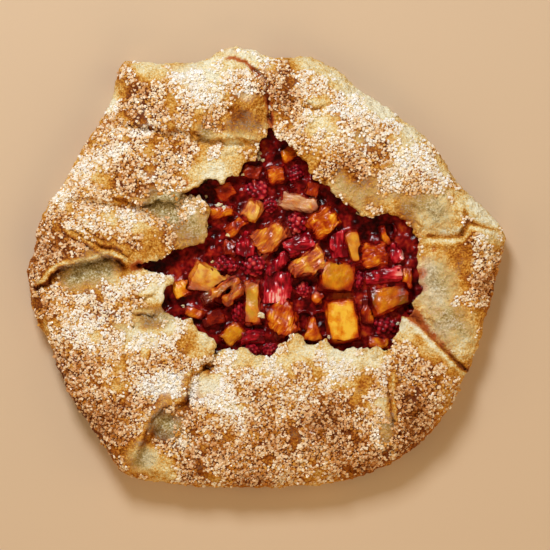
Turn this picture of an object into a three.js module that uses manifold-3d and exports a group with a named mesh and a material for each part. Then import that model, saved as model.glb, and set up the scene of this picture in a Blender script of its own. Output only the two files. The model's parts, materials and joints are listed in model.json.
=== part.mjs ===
// Fruit galette: one round of short pastry, its rim folded inwards in seven overlapping pleats over
// a heap of diced peach, rhubarb slices and raspberries that stand in red juice.
// Millimetres, +Z up, standing on z = 0 with the middle of its outline on the Z axis.
//
// The crust is one closed surface. Each pleat is a patch between its rim, its torn inner edge and
// two seams. Going anticlockwise, each pleat's leading edge lies over the tail of the next one.

import * as THREE from "three";
import { mergeVertices } from "three/addons/utils/BufferGeometryUtils.js";
import Module from "manifold-3d";

const wasm = await Module();
wasm.setup();

// Driving dimensions
const DOUGH = {
  sheet: 4.2, // thickness of the rolled dough
  rimTop: 31, // height of the folded rim
  tip: 26.5, // height of the torn inner edge
  widest: 9, // height at which the rim is widest
  foot: 5, // how far the underside is set in from the rim
  rimRun: 30, // how far in from the rim its top is reached
  fullness: 2.3, // power of the rim's section, 2 being an ellipse
  floor: 5, // thickness of the bottom
  overhang: 12, // how far the pleats reach in over the fruit
  wallTop: 21, // height of the dough's underside where it meets the fruit
  tuck: 3.5, // how far a pleat's tail runs in under the pleat before it
  gap: 1.1, // opening between two pleats at the seam
};
const JUICE = { level: 17.5, clearance: 0.8 };
const COLUMN_SPACING = 7.8; // between the crust's sections along the rim
const RAGGED = 1.1; // roughness of the torn edge
const FIT = 0.3; // gap between touching pieces
const WELD = 0.05; // points nearer than this become one
const SUGAR = { lumps: 66, size: 1.5 }; // the largest clusters of coarse sugar

// The pleats in anticlockwise order. rim runs from the corner it shares with the pleat before it to
// the corner it shares with the next one, tear is its inner edge in the same direction, and seam is
// its leading edge, from the rim inwards. step is how far that edge stands above the next pleat.
const PLEATS = [
  {
    rim: [[150, 22], [145, 30], [120, 54], [106, 77], [82, 97], [61, 110], [44, 125], [28, 132], [2, 132]],
    tear: [[95, 19], [92, 25], [82, 32], [72, 34], [63, 30], [53, 37], [42, 45], [38, 54], [35, 50], [26, 61],
      [21, 74], [9, 79], [4, 85]],
    seam: [[2, 132], [2, 120], [3, 105], [4, 85]],
    step: 5,
  },
  {
    rim: [[2, 132], [-10, 138], [-25, 139], [-33, 133], [-45, 129], [-77, 129], [-92, 129], [-95, 111],
      [-102, 94]],
    tear: [[3, 87], [1, 83], [-2, 79]],
    seam: [[-102, 94], [-88, 90], [-63, 88], [-47, 85], [-38, 79], [-16, 81], [-2, 79]],
    step: 4,
  },
  {
    rim: [[-102, 94], [-110, 83], [-120, 67], [-128, 50], [-137, 40]],
    tear: [[-3, 77], [-4, 70], [-10, 68], [-12, 63], [-16, 56], [-33, 55], [-51, 47]],
    seam: [[-137, 40], [-113, 44], [-91, 40], [-77, 40], [-63, 43], [-51, 47]],
    step: 5,
  },
  {
    rim: [[-137, 40], [-142, 28], [-145, 12], [-150, -1], [-148, -11]],
    tear: [[-51, 46], [-39, 44], [-35, 39], [-38, 34], [-35, 31], [-35, 19], [-39, 15], [-50, 13], [-72, 4],
      [-87, 0]],
    seam: [[-148, -11], [-140, -12], [-131, -1], [-113, 4], [-97, 7], [-91, 6], [-87, 0]],
    step: 6,
  },
  {
    rim: [[-148, -11], [-147, -26], [-138, -43], [-130, -64], [-118, -88], [-103, -109], [-90, -129],
      [-80, -133]],
    tear: [[-86, -3], [-72, -3], [-56, -6], [-62, -12], [-62, -18], [-65, -26], [-57, -30], [-50, -30],
      [-39, -40], [-32, -45], [-33, -52]],
    seam: [[-80, -133], [-82, -124], [-78, -113], [-71, -103], [-62, -92], [-52, -86], [-49, -78], [-47, -71],
      [-40, -65], [-33, -53]],
    step: 5,
  },
  {
    rim: [[-80, -133], [-47, -137], [-3, -138], [38, -136], [65, -129], [91, -115], [115, -90], [125, -68]],
    tear: [[-32, -54], [-21, -51], [-10, -53], [5, -56], [7, -48], [15, -46], [20, -42], [28, -47], [38, -45],
      [44, -51], [52, -48], [68, -52], [78, -50], [82, -40], [83, -29]],
    seam: [[125, -68], [112, -52], [103, -43], [93, -34], [83, -29]],
    step: 6,
  },
  {
    rim: [[125, -68], [130, -60], [139, -30], [145, -8], [150, 14], [150, 22]],
    tear: [[90, -32], [93, -23], [98, -13], [95, -5], [95, 8], [95, 17]],
    seam: [[150, 22], [140, 23], [131, 27], [125, 24], [122, 20], [109, 19], [95, 19]],
    step: 5,
  },
];

// Swells of the dough over the fruit, and sags and pinches in it: middle, reach and height.
const SWELLS = [
  { at: [-42, 108], reach: 34, rise: 4 },
  { at: [-74, 72], reach: 34, rise: 2.5 },
  { at: [-30, 64], reach: 14, rise: 1.5 },
  { at: [40, 98], reach: 36, rise: 2.5 },
  { at: [92, 60], reach: 26, rise: 1.5 },
  { at: [-95, 20], reach: 24, rise: 2 },
  { at: [-100, -50], reach: 30, rise: 1.5 },
  { at: [-25, -86], reach: 26, rise: 2.5 },
  { at: [34, -92], reach: 30, rise: 2 },
  { at: [96, -80], reach: 22, rise: 2.5 },
  { at: [-42, 84], reach: 9, rise: -3 },
  { at: [-4, 96], reach: 14, rise: -2 },
  { at: [-68, 40], reach: 12, rise: -3.5 },
  { at: [-73, -30], reach: 8, rise: -4.5 },
  { at: [-37, -62], reach: 5, rise: -5 },
  { at: [-61, -98], reach: 11, rise: -3 },
  { at: [76, -70], reach: 9, rise: -2.5 },
  { at: [74, -92], reach: 9, rise: -2.5 },
  { at: [34, 100], reach: 7, rise: -2.5 },
  { at: [126, 33], reach: 5, rise: -2 },
  { at: [103, 9], reach: 5, rise: -2 },
  { at: [118, -10], reach: 18, rise: -1.5 },
];

// Fruit: middle of each piece, its size along, across and up, its turn about Z in degrees, and the
// height of its top. A taper under 1 narrows the far end, which makes a wedge of a cube.
const PEACH = [
  { at: [48.5, -33], size: [28, 21, 16], turn: 98, top: 27.5 },
  { at: [45, -5], size: [23, 22, 14], turn: -6, top: 25.5 },
  { at: [78, -19], size: [27, 19, 13], turn: 16, top: 23.5, taper: 0.75 },
  { at: [3, 19], size: [24, 19, 13], turn: 32, top: 25.5, taper: 0.7 },
  { at: [26, 2], size: [24, 21, 13], turn: 205, top: 26.5, taper: 0.4 },
  { at: [10.5, -32], size: [24, 19, 13], turn: -68, top: 24.5 },
  { at: [-8, -22], size: [30, 11, 12], turn: 92, top: 22 },
  { at: [-35, -8], size: [25, 21, 13], turn: -20, top: 24, taper: 0.6 },
  { at: [-52, -12.5], size: [14, 13, 11], turn: 20, top: 20.5 },
  { at: [-45, -28], size: [14, 8, 9], turn: -15, top: 20.5 },
  { at: [-33, -31], size: [17, 12, 9], turn: 15, top: 20 },
  { at: [-21, -42], size: [17, 13, 10], turn: 42, top: 21 },
  { at: [29.5, -39], size: [18, 16, 12], turn: 92, top: 21.5, taper: 0.25 },
  { at: [-8, 36], size: [13, 12, 11], turn: 60, top: 24.5 },
  { at: [-19, 26], size: [17, 9, 10], turn: 42, top: 22.5 },
  { at: [-27, 35], size: [18, 8, 9], turn: 10, top: 21.5 },
  { at: [-25, 48], size: [14, 12, 10], turn: 30, top: 20.5 },
  { at: [-22, 13], size: [13, 11, 10], turn: 80, top: 21 },
  { at: [36, 28], size: [20, 18, 13], turn: 40, top: 24 },
  { at: [20, 41], size: [26, 11, 10], turn: -14, top: 23 },
  { at: [56, 13], size: [22, 10, 12], turn: -72, top: 24 },
  { at: [68, 8], size: [19, 17, 12], turn: 5, top: 24.5 },
  { at: [64, -27], size: [20, 11, 10], turn: 86, top: 20 },
  { at: [71, -47], size: [16, 9, 9], turn: -4, top: 20 },
  { at: [89, -6], size: [16, 8, 10], turn: 85, top: 20.5 },
  { at: [7, 58], size: [13, 12, 10], turn: 12, top: 22 },
  { at: [15, 71], size: [12, 10, 9], turn: 30, top: 20.5 },
  { at: [-9, 60], size: [14, 11, 9], turn: -12, top: 20.5 },
  { at: [29, 48], size: [15, 10, 10], turn: 70, top: 20.5 },
  { at: [33, -18], size: [9, 8, 9], turn: 35, top: 21.5 },
];
// Curled peelings: their middle, the line that each follows from there, its thickness, its height
// and the height of its top.
const PEELINGS = [
  {
    at: [-26, -15],
    line: [[-13, -6], [-4, 0], [4, 6], [11, 6], [9, 0], [1, -7]],
    thick: 4.6,
    deep: 7,
    top: 25.5,
  },
  { at: [75, 20], line: [[-2, 6], [-1, 0], [3, -6]], thick: 3, deep: 6, top: 21 },
];
const RHUBARB = [
  { at: [8, -13], size: [20, 17, 13], turn: 84, top: 24 },
  { at: [8, 2], size: [18, 7, 10], turn: 47, top: 23.5 },
  { at: [21, 14], size: [18, 12, 11], turn: 22, top: 25 },
  { at: [47, 15], size: [16, 15, 12], turn: 100, top: 22.5 },
  { at: [74, -5], size: [23, 10, 10], turn: 8, top: 23.5 },
  { at: [81, 9], size: [12, 9, 10], turn: 120, top: 21.5 },
  { at: [-8, -43], size: [15, 9, 9], turn: 4, top: 21 },
  { at: [-11, 13], size: [15, 14, 11], turn: 60, top: 23 },
];
const RASPBERRY = [
  { at: [-24, 2], size: [15, 12, 12], turn: 10, top: 23 },
  { at: [-8, 2], size: [16, 14, 13], turn: 160, top: 24 },
  { at: [-5, 48], size: [16, 13, 12], turn: 0, top: 22.5 },
  { at: [-16, -27], size: [15, 11, 12], turn: 85, top: 22 },
  { at: [20, 28], size: [15, 13, 12], turn: 50, top: 22.5 },
  { at: [75, -36], size: [16, 13, 11], turn: 10, top: 21.5 },
  { at: [-10, -52], size: [14, 9, 10], turn: 5, top: 20.5 },
  { at: [3, -51], size: [9, 10, 10], turn: 70, top: 20.5 },
  { at: [18, 59], size: [13, 11, 11], turn: 30, top: 21 },
  { at: [58, -8], size: [14, 9, 10], turn: 95, top: 21 },
  { at: [24, -14], size: [10, 10, 10], turn: 0, top: 21 },
  { at: [3, 39], size: [11, 10, 10], turn: 20, top: 22 },
];
const DRUPELETS = 26; // on a whole raspberry
const WHOLE_BERRY = 14.5; // a raspberry longer than this is shaped finely

const LOOK = {
  crust: { color: 0xd9ab68, roughness: 0.8 },
  juice: { color: 0x5e0a10, roughness: 0.15 },
  peach: { color: 0xe08a1c, roughness: 0.35 },
  rhubarb: { color: 0x9c1420, roughness: 0.3 },
  raspberry: { color: 0x8c0f26, roughness: 0.35 },
};

// Numbers

function randomFrom(seed) {
  let state = seed >>> 0;
  return () => {
    state = (state + 0x6d2b79f5) >>> 0;
    let t = Math.imul(state ^ (state >>> 15), 1 | state);
    t = (t + Math.imul(t ^ (t >>> 7), 61 | t)) ^ t;
    return ((t ^ (t >>> 14)) >>> 0) / 4294967296;
  };
}

function smooth(x) {
  const t = Math.min(1, Math.max(0, x));
  return t * t * (3 - 2 * t);
}

// Smooth noise between -1 and 1 that changes over about `scale`.
function unevenness(x, y, scale) {
  const lattice = (i, j) => {
    const h = Math.sin(i * 127.1 + j * 311.7) * 43758.5453;
    return 2 * (h - Math.floor(h)) - 1;
  };
  const i = Math.floor(x / scale);
  const j = Math.floor(y / scale);
  const a = smooth(x / scale - i);
  const b = smooth(y / scale - j);
  const low = lattice(i, j) * (1 - a) + lattice(i + 1, j) * a;
  const high = lattice(i, j + 1) * (1 - a) + lattice(i + 1, j + 1) * a;
  return low * (1 - b) + high * b;
}

// Solids

// A closed geometry as a manifold-3d solid, with points closer than `near` merged and the faces
// that this flattens dropped.
function solidOf(geometry, near = 1e-3) {
  const bare = new THREE.BufferGeometry().setAttribute("position", geometry.getAttribute("position"));
  if (geometry.index) bare.setIndex(geometry.index);
  const merged = mergeVertices(bare, near);
  const faces = [];
  for (let i = 0; i < merged.index.count; i += 3) {
    const [a, b, c] = [0, 1, 2].map((n) => merged.index.getX(i + n));
    if (a !== b && b !== c && c !== a) faces.push(a, b, c);
  }
  return new wasm.Manifold(
    new wasm.Mesh({
      numProp: 3,
      vertProperties: new Float32Array(merged.attributes.position.array),
      triVerts: new Uint32Array(faces),
    }),
  );
}

function geometryOf(solid) {
  const mesh = solid.getMesh();
  const points = new Float32Array(mesh.numVert * 3);
  for (let i = 0; i < mesh.numVert; i++) {
    points.set(mesh.vertProperties.subarray(i * mesh.numProp, i * mesh.numProp + 3), i * 3);
  }
  const geometry = new THREE.BufferGeometry();
  geometry.setAttribute("position", new THREE.BufferAttribute(points, 3));
  geometry.setIndex(new THREE.BufferAttribute(mesh.triVerts, 1));
  geometry.computeVertexNormals();
  return geometry;
}

// The largest body of a solid, so that no loose scrap is left by a cut.
function mainBody(solid) {
  return solid.decompose().reduce((best, body) => (body.volume() > best.volume() ? body : best));
}

// Crust

const plane = ([x, y]) => new THREE.Vector3(x, y, 0);
const roundCurve = (points) => new THREE.CatmullRomCurve3(points.map(plane), false, "centripetal");

function brokenLine(points) {
  const path = new THREE.CurvePath();
  for (let i = 1; i < points.length; i++) {
    path.add(new THREE.LineCurve3(plane(points[i - 1]), plane(points[i])));
  }
  return path;
}

// Where along the pleat its sections stand: at each point of the torn edge, and between them.
function sectionPlaces(pleat, rimLength) {
  const lengths = [0];
  for (let i = 1; i < pleat.tear.length; i++) {
    const [[x0, y0], [x1, y1]] = [pleat.tear[i - 1], pleat.tear[i]];
    lengths.push(lengths[i - 1] + Math.hypot(x1 - x0, y1 - y0));
  }
  const total = lengths.at(-1);
  const places = [];
  for (let i = 1; i < lengths.length; i++) {
    const [from, to] = [lengths[i - 1] / total, lengths[i] / total];
    const cuts = Math.max(1, Math.round(((to - from) * Math.max(rimLength, total)) / COLUMN_SPACING));
    for (let n = 0; n < cuts; n++) places.push({ u: from + ((to - from) * n) / cuts, corner: n === 0 });
  }
  places.push({ u: 1, corner: true });
  return places;
}

// The pleat's plan: a patch stretched between rim, tear, tail and leading seam.
function pleatPlan(index) {
  const pleat = PLEATS[index];
  const cover = PLEATS[(index + PLEATS.length - 1) % PLEATS.length];
  const rim = roundCurve(pleat.rim);
  const tear = brokenLine(pleat.tear);
  const lead = roundCurve(pleat.seam);
  const tail = roundCurve([...cover.seam.slice(0, -1), pleat.tear[0]]);
  const tailAt = (t) => {
    const along = tail.getTangentAt(t);
    const under = new THREE.Vector3(-along.y, along.x, 0).multiplyScalar(DOUGH.tuck * smooth(t / 0.2));
    return tail.getPointAt(t).add(under);
  };
  const [rimStart, rimEnd] = [rim.getPointAt(0), rim.getPointAt(1)];
  const [tearStart, tearEnd] = [tailAt(1), lead.getPointAt(1)];
  const at = (u, t) => {
    const acrossRim = rim.getPointAt(u).multiplyScalar(1 - t);
    const acrossTear = tear.getPointAt(u).multiplyScalar(t);
    const alongTail = tailAt(t).multiplyScalar(1 - u);
    const alongLead = lead.getPointAt(t).multiplyScalar(u);
    const corners = new THREE.Vector3()
      .addScaledVector(rimStart, (1 - u) * (1 - t))
      .addScaledVector(rimEnd, u * (1 - t))
      .addScaledVector(tearStart, (1 - u) * t)
      .addScaledVector(tearEnd, u * t);
    return acrossRim.add(acrossTear).add(alongTail).add(alongLead).sub(corners);
  };
  return { at, rimLength: rim.getLength() };
}

function swellAt(x, y) {
  let rise = 1.1 * unevenness(x, y, 24) + 0.6 * unevenness(x + 50, y, 10);
  for (const { at, reach, rise: height } of SWELLS) {
    rise += height * Math.exp(-((x - at[0]) ** 2 + (y - at[1]) ** 2) / (reach * reach));
  }
  return rise;
}

const SIDE_ANGLES = [0.16, 0.34, 0.54, 0.77, 1].map((share) => (share * Math.PI) / 2);
const TOP_SHARES = [0.17, 0.34, 0.51, 0.68, 0.85, 1];

// One section of the crust from its foot up the side, over the top and down into the fruit's hollow.
// lift is 0 low on the rim and 1 on top, for what pleats and seams add there.
function section(planAt, raise, ragged) {
  const start = planAt(0);
  const reach = start.distanceTo(planAt(1));
  const run = Math.min(DOUGH.rimRun, 0.55 * reach);
  const inwards = planAt(0.1).sub(start).normalize();
  const spots = [
    { place: start.clone().addScaledVector(inwards, DOUGH.foot), z: 0, lift: 0 },
    { place: start.clone().addScaledVector(inwards, 0.3 * DOUGH.foot), z: 0.28 * DOUGH.widest, lift: 0 },
    { place: start.clone(), z: DOUGH.widest, lift: 0 },
  ];
  const fall = DOUGH.rimTop - DOUGH.tip; // from the rim's top to the torn edge
  const topAt = (place, t) =>
    DOUGH.rimTop - DOUGH.widest - fall * smooth(t) + swellAt(place.x, place.y) + raise(t);
  const power = 2 / DOUGH.fullness;
  for (const angle of SIDE_ANGLES) {
    const t = (run * (1 - Math.cos(angle) ** power)) / reach;
    const place = planAt(t);
    const lift = Math.sin(angle) ** power;
    spots.push({ place, z: DOUGH.widest + lift * topAt(place, t), lift });
  }
  for (const share of TOP_SHARES) {
    const t = run / reach + (1 - run / reach) * share;
    const place = planAt(t);
    spots.push({ place, z: DOUGH.widest + topAt(place, t), lift: 1 });
  }
  const tip = spots.at(-1);
  tip.place.addScaledVector(inwards, ragged);
  const outwards = planAt(0.8).sub(planAt(1)).normalize();
  const wall = tip.place.clone().addScaledVector(outwards, DOUGH.overhang);
  spots.push({ place: tip.place.clone(), z: tip.z - DOUGH.sheet, lift: 1 });
  spots.push({ place: wall, z: DOUGH.wallTop, lift: 1 });
  spots.push({ place: wall.clone(), z: DOUGH.floor, lift: 1 });
  return spots;
}

const WALL = -2; // the wall's top, counted from a section's end
const TIP_UNDER = -3;

// All sections of the crust, in order round it.
function crustSections() {
  const random = randomFrom(11);
  const sections = [];
  PLEATS.forEach((pleat, index) => {
    const cover = PLEATS[(index + PLEATS.length - 1) % PLEATS.length];
    const { at, rimLength } = pleatPlan(index);
    for (const { u, corner } of sectionPlaces(pleat, rimLength)) {
      const ragged = corner ? 0 : RAGGED * (2 * random() - 1);
      // The pleat climbs from where it is tucked in to its leading edge.
      const raise = (t) => {
        const climb = -0.5 * cover.step * (1 - smooth(u * 1.6)) + 0.5 * pleat.step * smooth(u * 1.6 - 0.6);
        const opening = u > 0 ? -DOUGH.gap * Math.exp(-u * 14) : 0;
        return (climb + opening) * smooth(t * 5);
      };
      sections.push(section((t) => at(u, t), raise, ragged));
    }
    // The leading edge's own thickness: the last section again, lowered by the sheet.
    const edge = sections.at(-1);
    const lowered = ({ place, z, lift }) => ({ place: place.clone(), z: z - DOUGH.sheet * lift, lift });
    const under = edge.map(lowered);
    const last = edge.length;
    for (const back of [TIP_UNDER, WALL, -1]) under[last + back] = edge[last + back];
    sections.push(under);
  });
  return sections;
}

// Evens out the line of the hollow's wall round the crust, which need not follow every tear.
function easeWall(sections, passes) {
  const count = sections.length;
  for (let pass = 0; pass < passes; pass++) {
    const middles = sections.map((spots, i) => {
      const before = sections[(i + count - 1) % count].at(WALL).place;
      const after = sections[(i + 1) % count].at(WALL).place;
      return spots.at(WALL).place.clone().add(before).add(after).divideScalar(3);
    });
    sections.forEach((spots, i) => {
      spots.at(WALL).place.copy(middles[i]);
      spots.at(-1).place.copy(middles[i]);
    });
  }
}

// A closed surface over rings of points: quads between neighbouring sections, and a fan at each end.
function closeRing(sections, bottom, top) {
  const points = [];
  const faces = [];
  const long = sections[0].length;
  for (const spots of sections) for (const { place, z } of spots) points.push(place.x, place.y, z);
  const bottomPoint = points.length / 3;
  points.push(0, 0, bottom, 0, 0, top);
  const topPoint = bottomPoint + 1;
  sections.forEach((_, i) => {
    const [here, next] = [i * long, ((i + 1) % sections.length) * long];
    for (let j = 0; j < long - 1; j++) {
      faces.push(here + j, next + j, next + j + 1, here + j, next + j + 1, here + j + 1);
    }
    faces.push(bottomPoint, next, here, topPoint, here + long - 1, next + long - 1);
  });
  const geometry = new THREE.BufferGeometry();
  geometry.setAttribute("position", new THREE.BufferAttribute(new Float32Array(points), 3));
  geometry.setIndex(faces);
  return geometry;
}

// Coarse sugar and crumbs: small octahedra sunk into the top of the crust, away from its edges.
function sugarLumps(sections) {
  const random = randomFrom(5);
  const firstTop = 3 + SIDE_ANGLES.length - 2;
  const lumps = [];
  for (let n = 0; n < SUGAR.lumps; n++) {
    const spots = sections[Math.floor(random() * sections.length)];
    const j = firstTop + Math.floor(random() * (TOP_SHARES.length - 1));
    const share = random();
    const place = spots[j].place.clone().lerp(spots[j + 1].place, share);
    place.z = THREE.MathUtils.lerp(spots[j].z, spots[j + 1].z, share) + 0.15 * SUGAR.size;
    const lump = new THREE.OctahedronGeometry(SUGAR.size * (0.8 + 0.5 * random()));
    lump.rotateX(random() * Math.PI);
    lump.rotateZ(random() * Math.PI);
    lumps.push(solidOf(lump.translate(place.x, place.y, place.z)));
  }
  return lumps;
}

function makeCrust(sections) {
  const dough = solidOf(closeRing(sections, 0, DOUGH.floor));
  return sugarLumps(sections).reduce((whole, lump) => whole.add(lump), dough);
}

// The juice and cooked-down fruit that fill the hollow, level with a small gap to its wall.
function makeJuice(sections) {
  const apart = [sections[0].at(WALL).place];
  for (const spots of sections) {
    const { place } = spots.at(WALL);
    if (place.distanceTo(apart.at(-1)) > 3 && place.distanceTo(apart[0]) > 3) apart.push(place);
  }
  const outline = apart.map((place, i) => {
    const along = apart[(i + 1) % apart.length].clone().sub(apart.at(i - 1)).normalize();
    return new THREE.Vector2(place.x - JUICE.clearance * along.y, place.y + JUICE.clearance * along.x);
  });
  const floor = DOUGH.floor + JUICE.clearance;
  const depth = JUICE.level - floor;
  const pool = new THREE.ExtrudeGeometry(new THREE.Shape(outline), { depth, bevelEnabled: false });
  return solidOf(pool.translate(0, 0, floor));
}

// Fruit

const evenly = (random, spread) => spread * (2 * random() - 1);

function eachPoint(geometry, move) {
  const position = geometry.getAttribute("position");
  const point = new THREE.Vector3();
  for (let i = 0; i < position.count; i++) {
    move(point.fromBufferAttribute(position, i));
    position.setXYZ(i, point.x, point.y, point.z);
  }
  return geometry;
}

// A diced piece: a cube whose corners are knocked off and whose faces are uneven.
function dicedPiece(piece, seed, grow) {
  const random = randomFrom(seed);
  const [shiftX, shiftY] = [random() * 90, random() * 90];
  const taper = piece.taper ?? 0.88 + 0.12 * random();
  const cube = new THREE.BoxGeometry(2, 2, 2, 2, 2, 2);
  eachPoint(cube, (point) => {
    const knocked = Math.abs(point.x) + Math.abs(point.y) + Math.abs(point.z);
    const ease = knocked > 2.5 ? 0.86 : knocked > 1.5 ? 0.97 : 1.02;
    const wobble = 1 + 0.09 * unevenness(shiftX + 7 * point.x, shiftY + 5 * point.y + 9 * point.z, 4);
    const narrow = 1 + (taper - 1) * (point.x + 1) * 0.5;
    point.x *= ease * wobble * 0.5 * piece.size[0];
    point.y *= ease * wobble * narrow * 0.5 * piece.size[1];
    point.z *= ease * 0.5 * piece.size[2];
    point.addScaledVector(point.clone().normalize(), grow * 1.6);
  });
  return cube.rotateX(evenly(random, 0.11)).rotateY(evenly(random, 0.11));
}

// A slice of stalk: a shallow arch in section, flat on the inner side, cut square at both ends.
function stalkSlice(piece, seed, grow) {
  const random = randomFrom(seed);
  const [length, width, height] = piece.size;
  const [halfWidth, low, high] = [width / 2 + grow, -height / 2 - grow, height / 2 + grow];
  const outline = new THREE.Shape();
  outline.moveTo(-halfWidth, low);
  outline.lineTo(halfWidth, low);
  outline.lineTo(halfWidth, high * 0.35);
  outline.quadraticCurveTo(halfWidth * 0.9, high, 0, high);
  outline.quadraticCurveTo(-halfWidth * 0.9, high, -halfWidth, high * 0.35);
  outline.closePath();
  const depth = length + 2 * grow;
  const cut = { depth, bevelEnabled: false, curveSegments: 3, steps: 2 };
  const slice = new THREE.ExtrudeGeometry(outline, cut);
  slice.translate(0, 0, -depth / 2);
  eachPoint(slice, (point) => {
    point.x += 0.5 * unevenness(point.z + seed, point.y, 6);
    point.y += 0.7 * unevenness(point.z, point.x + seed, 6);
  });
  slice.rotateX(Math.PI / 2).rotateZ(Math.PI / 2);
  return slice.rotateX(evenly(random, 0.25)).rotateY(evenly(random, 0.15));
}

// A raspberry: an egg shape whose surface bulges at each drupelet.
function raspberry(piece, seed, grow) {
  const random = randomFrom(seed);
  const golden = Math.PI * (3 - Math.sqrt(5));
  const knobs = Array.from({ length: DRUPELETS }, (_, n) => {
    const z = 1 - (2 * n + 1) / DRUPELETS;
    const across = Math.sqrt(1 - z * z);
    return new THREE.Vector3(across * Math.cos(golden * n), across * Math.sin(golden * n), z);
  });
  const halves = new THREE.Vector3(...piece.size).multiplyScalar(0.5);
  const berry = new THREE.IcosahedronGeometry(1, piece.size[0] > WHOLE_BERRY ? 2 : 1);
  eachPoint(berry, (point) => {
    const nearest = Math.min(...knobs.map((knob) => knob.distanceTo(point)));
    point.multiplyScalar(1.04 - 0.5 * nearest * nearest).multiply(halves);
    point.addScaledVector(point.clone().normalize(), grow * 1.3);
  });
  return berry.rotateX(evenly(random, 0.4)).rotateY(evenly(random, 0.4));
}

// A curled peeling: a band on edge that follows its line.
function peeling(piece, seed, grow) {
  const line = new THREE.CatmullRomCurve3(piece.line.map(([x, y]) => new THREE.Vector3(x, y, 0)));
  const half = piece.thick / 2 + grow;
  const deep = piece.deep / 2 + grow;
  const band = new THREE.Shape();
  band.moveTo(-deep, -half * 0.7);
  band.lineTo(0, -half);
  band.lineTo(deep, -half * 0.5);
  band.lineTo(deep * 1.05, half * 0.4);
  band.lineTo(0, half);
  band.lineTo(-deep, half * 0.7);
  band.closePath();
  const steps = Math.ceil(line.getLength() / 4);
  const strip = new THREE.ExtrudeGeometry(band, { extrudePath: line, steps, bevelEnabled: false });
  return eachPoint(strip, (point) => (point.z += 0.8 * unevenness(point.x + seed, point.y, 7)));
}

const FRUIT = [
  { name: "peach", look: "peach", make: dicedPiece, list: PEACH },
  { name: "peeling", look: "peach", make: peeling, list: PEELINGS },
  { name: "rhubarb", look: "rhubarb", make: stalkSlice, list: RHUBARB },
  { name: "raspberry", look: "raspberry", make: raspberry, list: RASPBERRY },
];

function boxRound(geometry) {
  geometry.computeBoundingBox();
  const { min, max } = geometry.boundingBox;
  const middle = min.clone().add(max).divideScalar(2);
  return new THREE.BoxGeometry(...max.clone().sub(min)).translate(...middle);
}

// A shape set down in the heap, with its top at the piece's height or `grow` above it.
function setDown(geometry, { at, turn = 0, top }, grow) {
  geometry.computeBoundingBox();
  const rise = top + grow - geometry.boundingBox.max.z;
  return solidOf(geometry.rotateZ(THREE.MathUtils.degToRad(turn)).translate(at[0], at[1], rise));
}

// All fruit, highest first. A piece gives way to each higher one that it would cross, and the juice
// leaves a plain seat for each.
function makeFruit() {
  const heap = FRUIT.flatMap(({ name, look, make, list }, kind) =>
    list.map((piece, n) => {
      const seed = 100 * kind + n;
      return {
        name: `${name}_${String(n + 1).padStart(2, "0")}`,
        look,
        top: piece.top,
        solid: setDown(make(piece, seed, 0), piece, 0),
        room: setDown(make(piece, seed, FIT), piece, FIT),
        seat: setDown(boxRound(make(piece, seed, FIT)), piece, FIT),
      };
    }),
  );
  heap.sort((a, b) => b.top - a.top);
  heap.forEach((piece, i) => {
    const higher = heap.slice(0, i).map(({ room }) => room);
    piece.solid = higher.reduce((left, room) => left.subtract(room), piece.solid);
  });
  return heap;
}

// Assembly

const sections = crustSections();
easeWall(sections, 6);
const fruit = makeFruit();
const juice = fruit.reduce((left, { seat }) => left.subtract(seat), makeJuice(sections));

const galette = new THREE.Group();
function addPiece(name, solid, look) {
  const tidy = geometryOf(mainBody(solidOf(geometryOf(solid), WELD)));
  const mesh = new THREE.Mesh(tidy, new THREE.MeshStandardMaterial({ metalness: 0, ...LOOK[look] }));
  mesh.name = name;
  galette.add(mesh);
}
addPiece("crust", makeCrust(sections), "crust");
addPiece("juice", juice, "juice");
for (const { name, solid, look } of fruit) addPiece(name, solid, look);

// Centred, so that the Z axis passes through the middle of the outline.
const middle = new THREE.Box3().setFromObject(galette).getCenter(new THREE.Vector3());
galette.position.set(-middle.x, -middle.y, 0);

export default galette;
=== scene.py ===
# Fruit galette: sugared short pastry pleated over peach, rhubarb and raspberries in red juice.
# The frame's crust, juice and fruit are copied, softened and given their real surface. Metres.
import json
import math
import random

import bpy
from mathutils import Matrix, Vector, noise

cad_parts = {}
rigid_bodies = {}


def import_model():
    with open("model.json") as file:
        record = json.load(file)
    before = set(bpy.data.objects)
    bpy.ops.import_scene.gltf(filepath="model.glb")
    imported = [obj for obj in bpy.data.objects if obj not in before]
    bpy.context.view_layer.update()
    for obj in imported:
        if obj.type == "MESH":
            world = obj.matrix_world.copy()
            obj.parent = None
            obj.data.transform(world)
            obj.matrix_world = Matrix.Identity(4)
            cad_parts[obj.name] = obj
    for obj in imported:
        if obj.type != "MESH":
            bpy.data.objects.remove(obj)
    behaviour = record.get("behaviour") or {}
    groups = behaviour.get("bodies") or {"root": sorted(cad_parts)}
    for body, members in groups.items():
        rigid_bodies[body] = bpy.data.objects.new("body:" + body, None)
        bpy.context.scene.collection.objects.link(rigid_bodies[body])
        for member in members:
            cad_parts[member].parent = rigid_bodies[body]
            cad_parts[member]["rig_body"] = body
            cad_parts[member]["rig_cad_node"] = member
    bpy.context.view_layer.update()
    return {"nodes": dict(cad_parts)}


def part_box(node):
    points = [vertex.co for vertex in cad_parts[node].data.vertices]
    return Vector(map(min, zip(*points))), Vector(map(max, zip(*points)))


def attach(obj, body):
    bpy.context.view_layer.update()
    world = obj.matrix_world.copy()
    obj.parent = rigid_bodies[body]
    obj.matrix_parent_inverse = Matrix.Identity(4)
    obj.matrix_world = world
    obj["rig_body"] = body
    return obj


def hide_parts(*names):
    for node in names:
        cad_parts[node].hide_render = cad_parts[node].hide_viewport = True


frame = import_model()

mm = 0.001


def ease(x, low, high):  # 0 below low, 1 above high, smooth between
    t = min(1.0, max(0.0, (x - low) / (high - low)))
    return t * t * (3 - 2 * t)


def rough(p, waves):  # noise of several sizes and heights, added up
    return sum(noise.noise(p / size) * height for size, height in waves)


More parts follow.
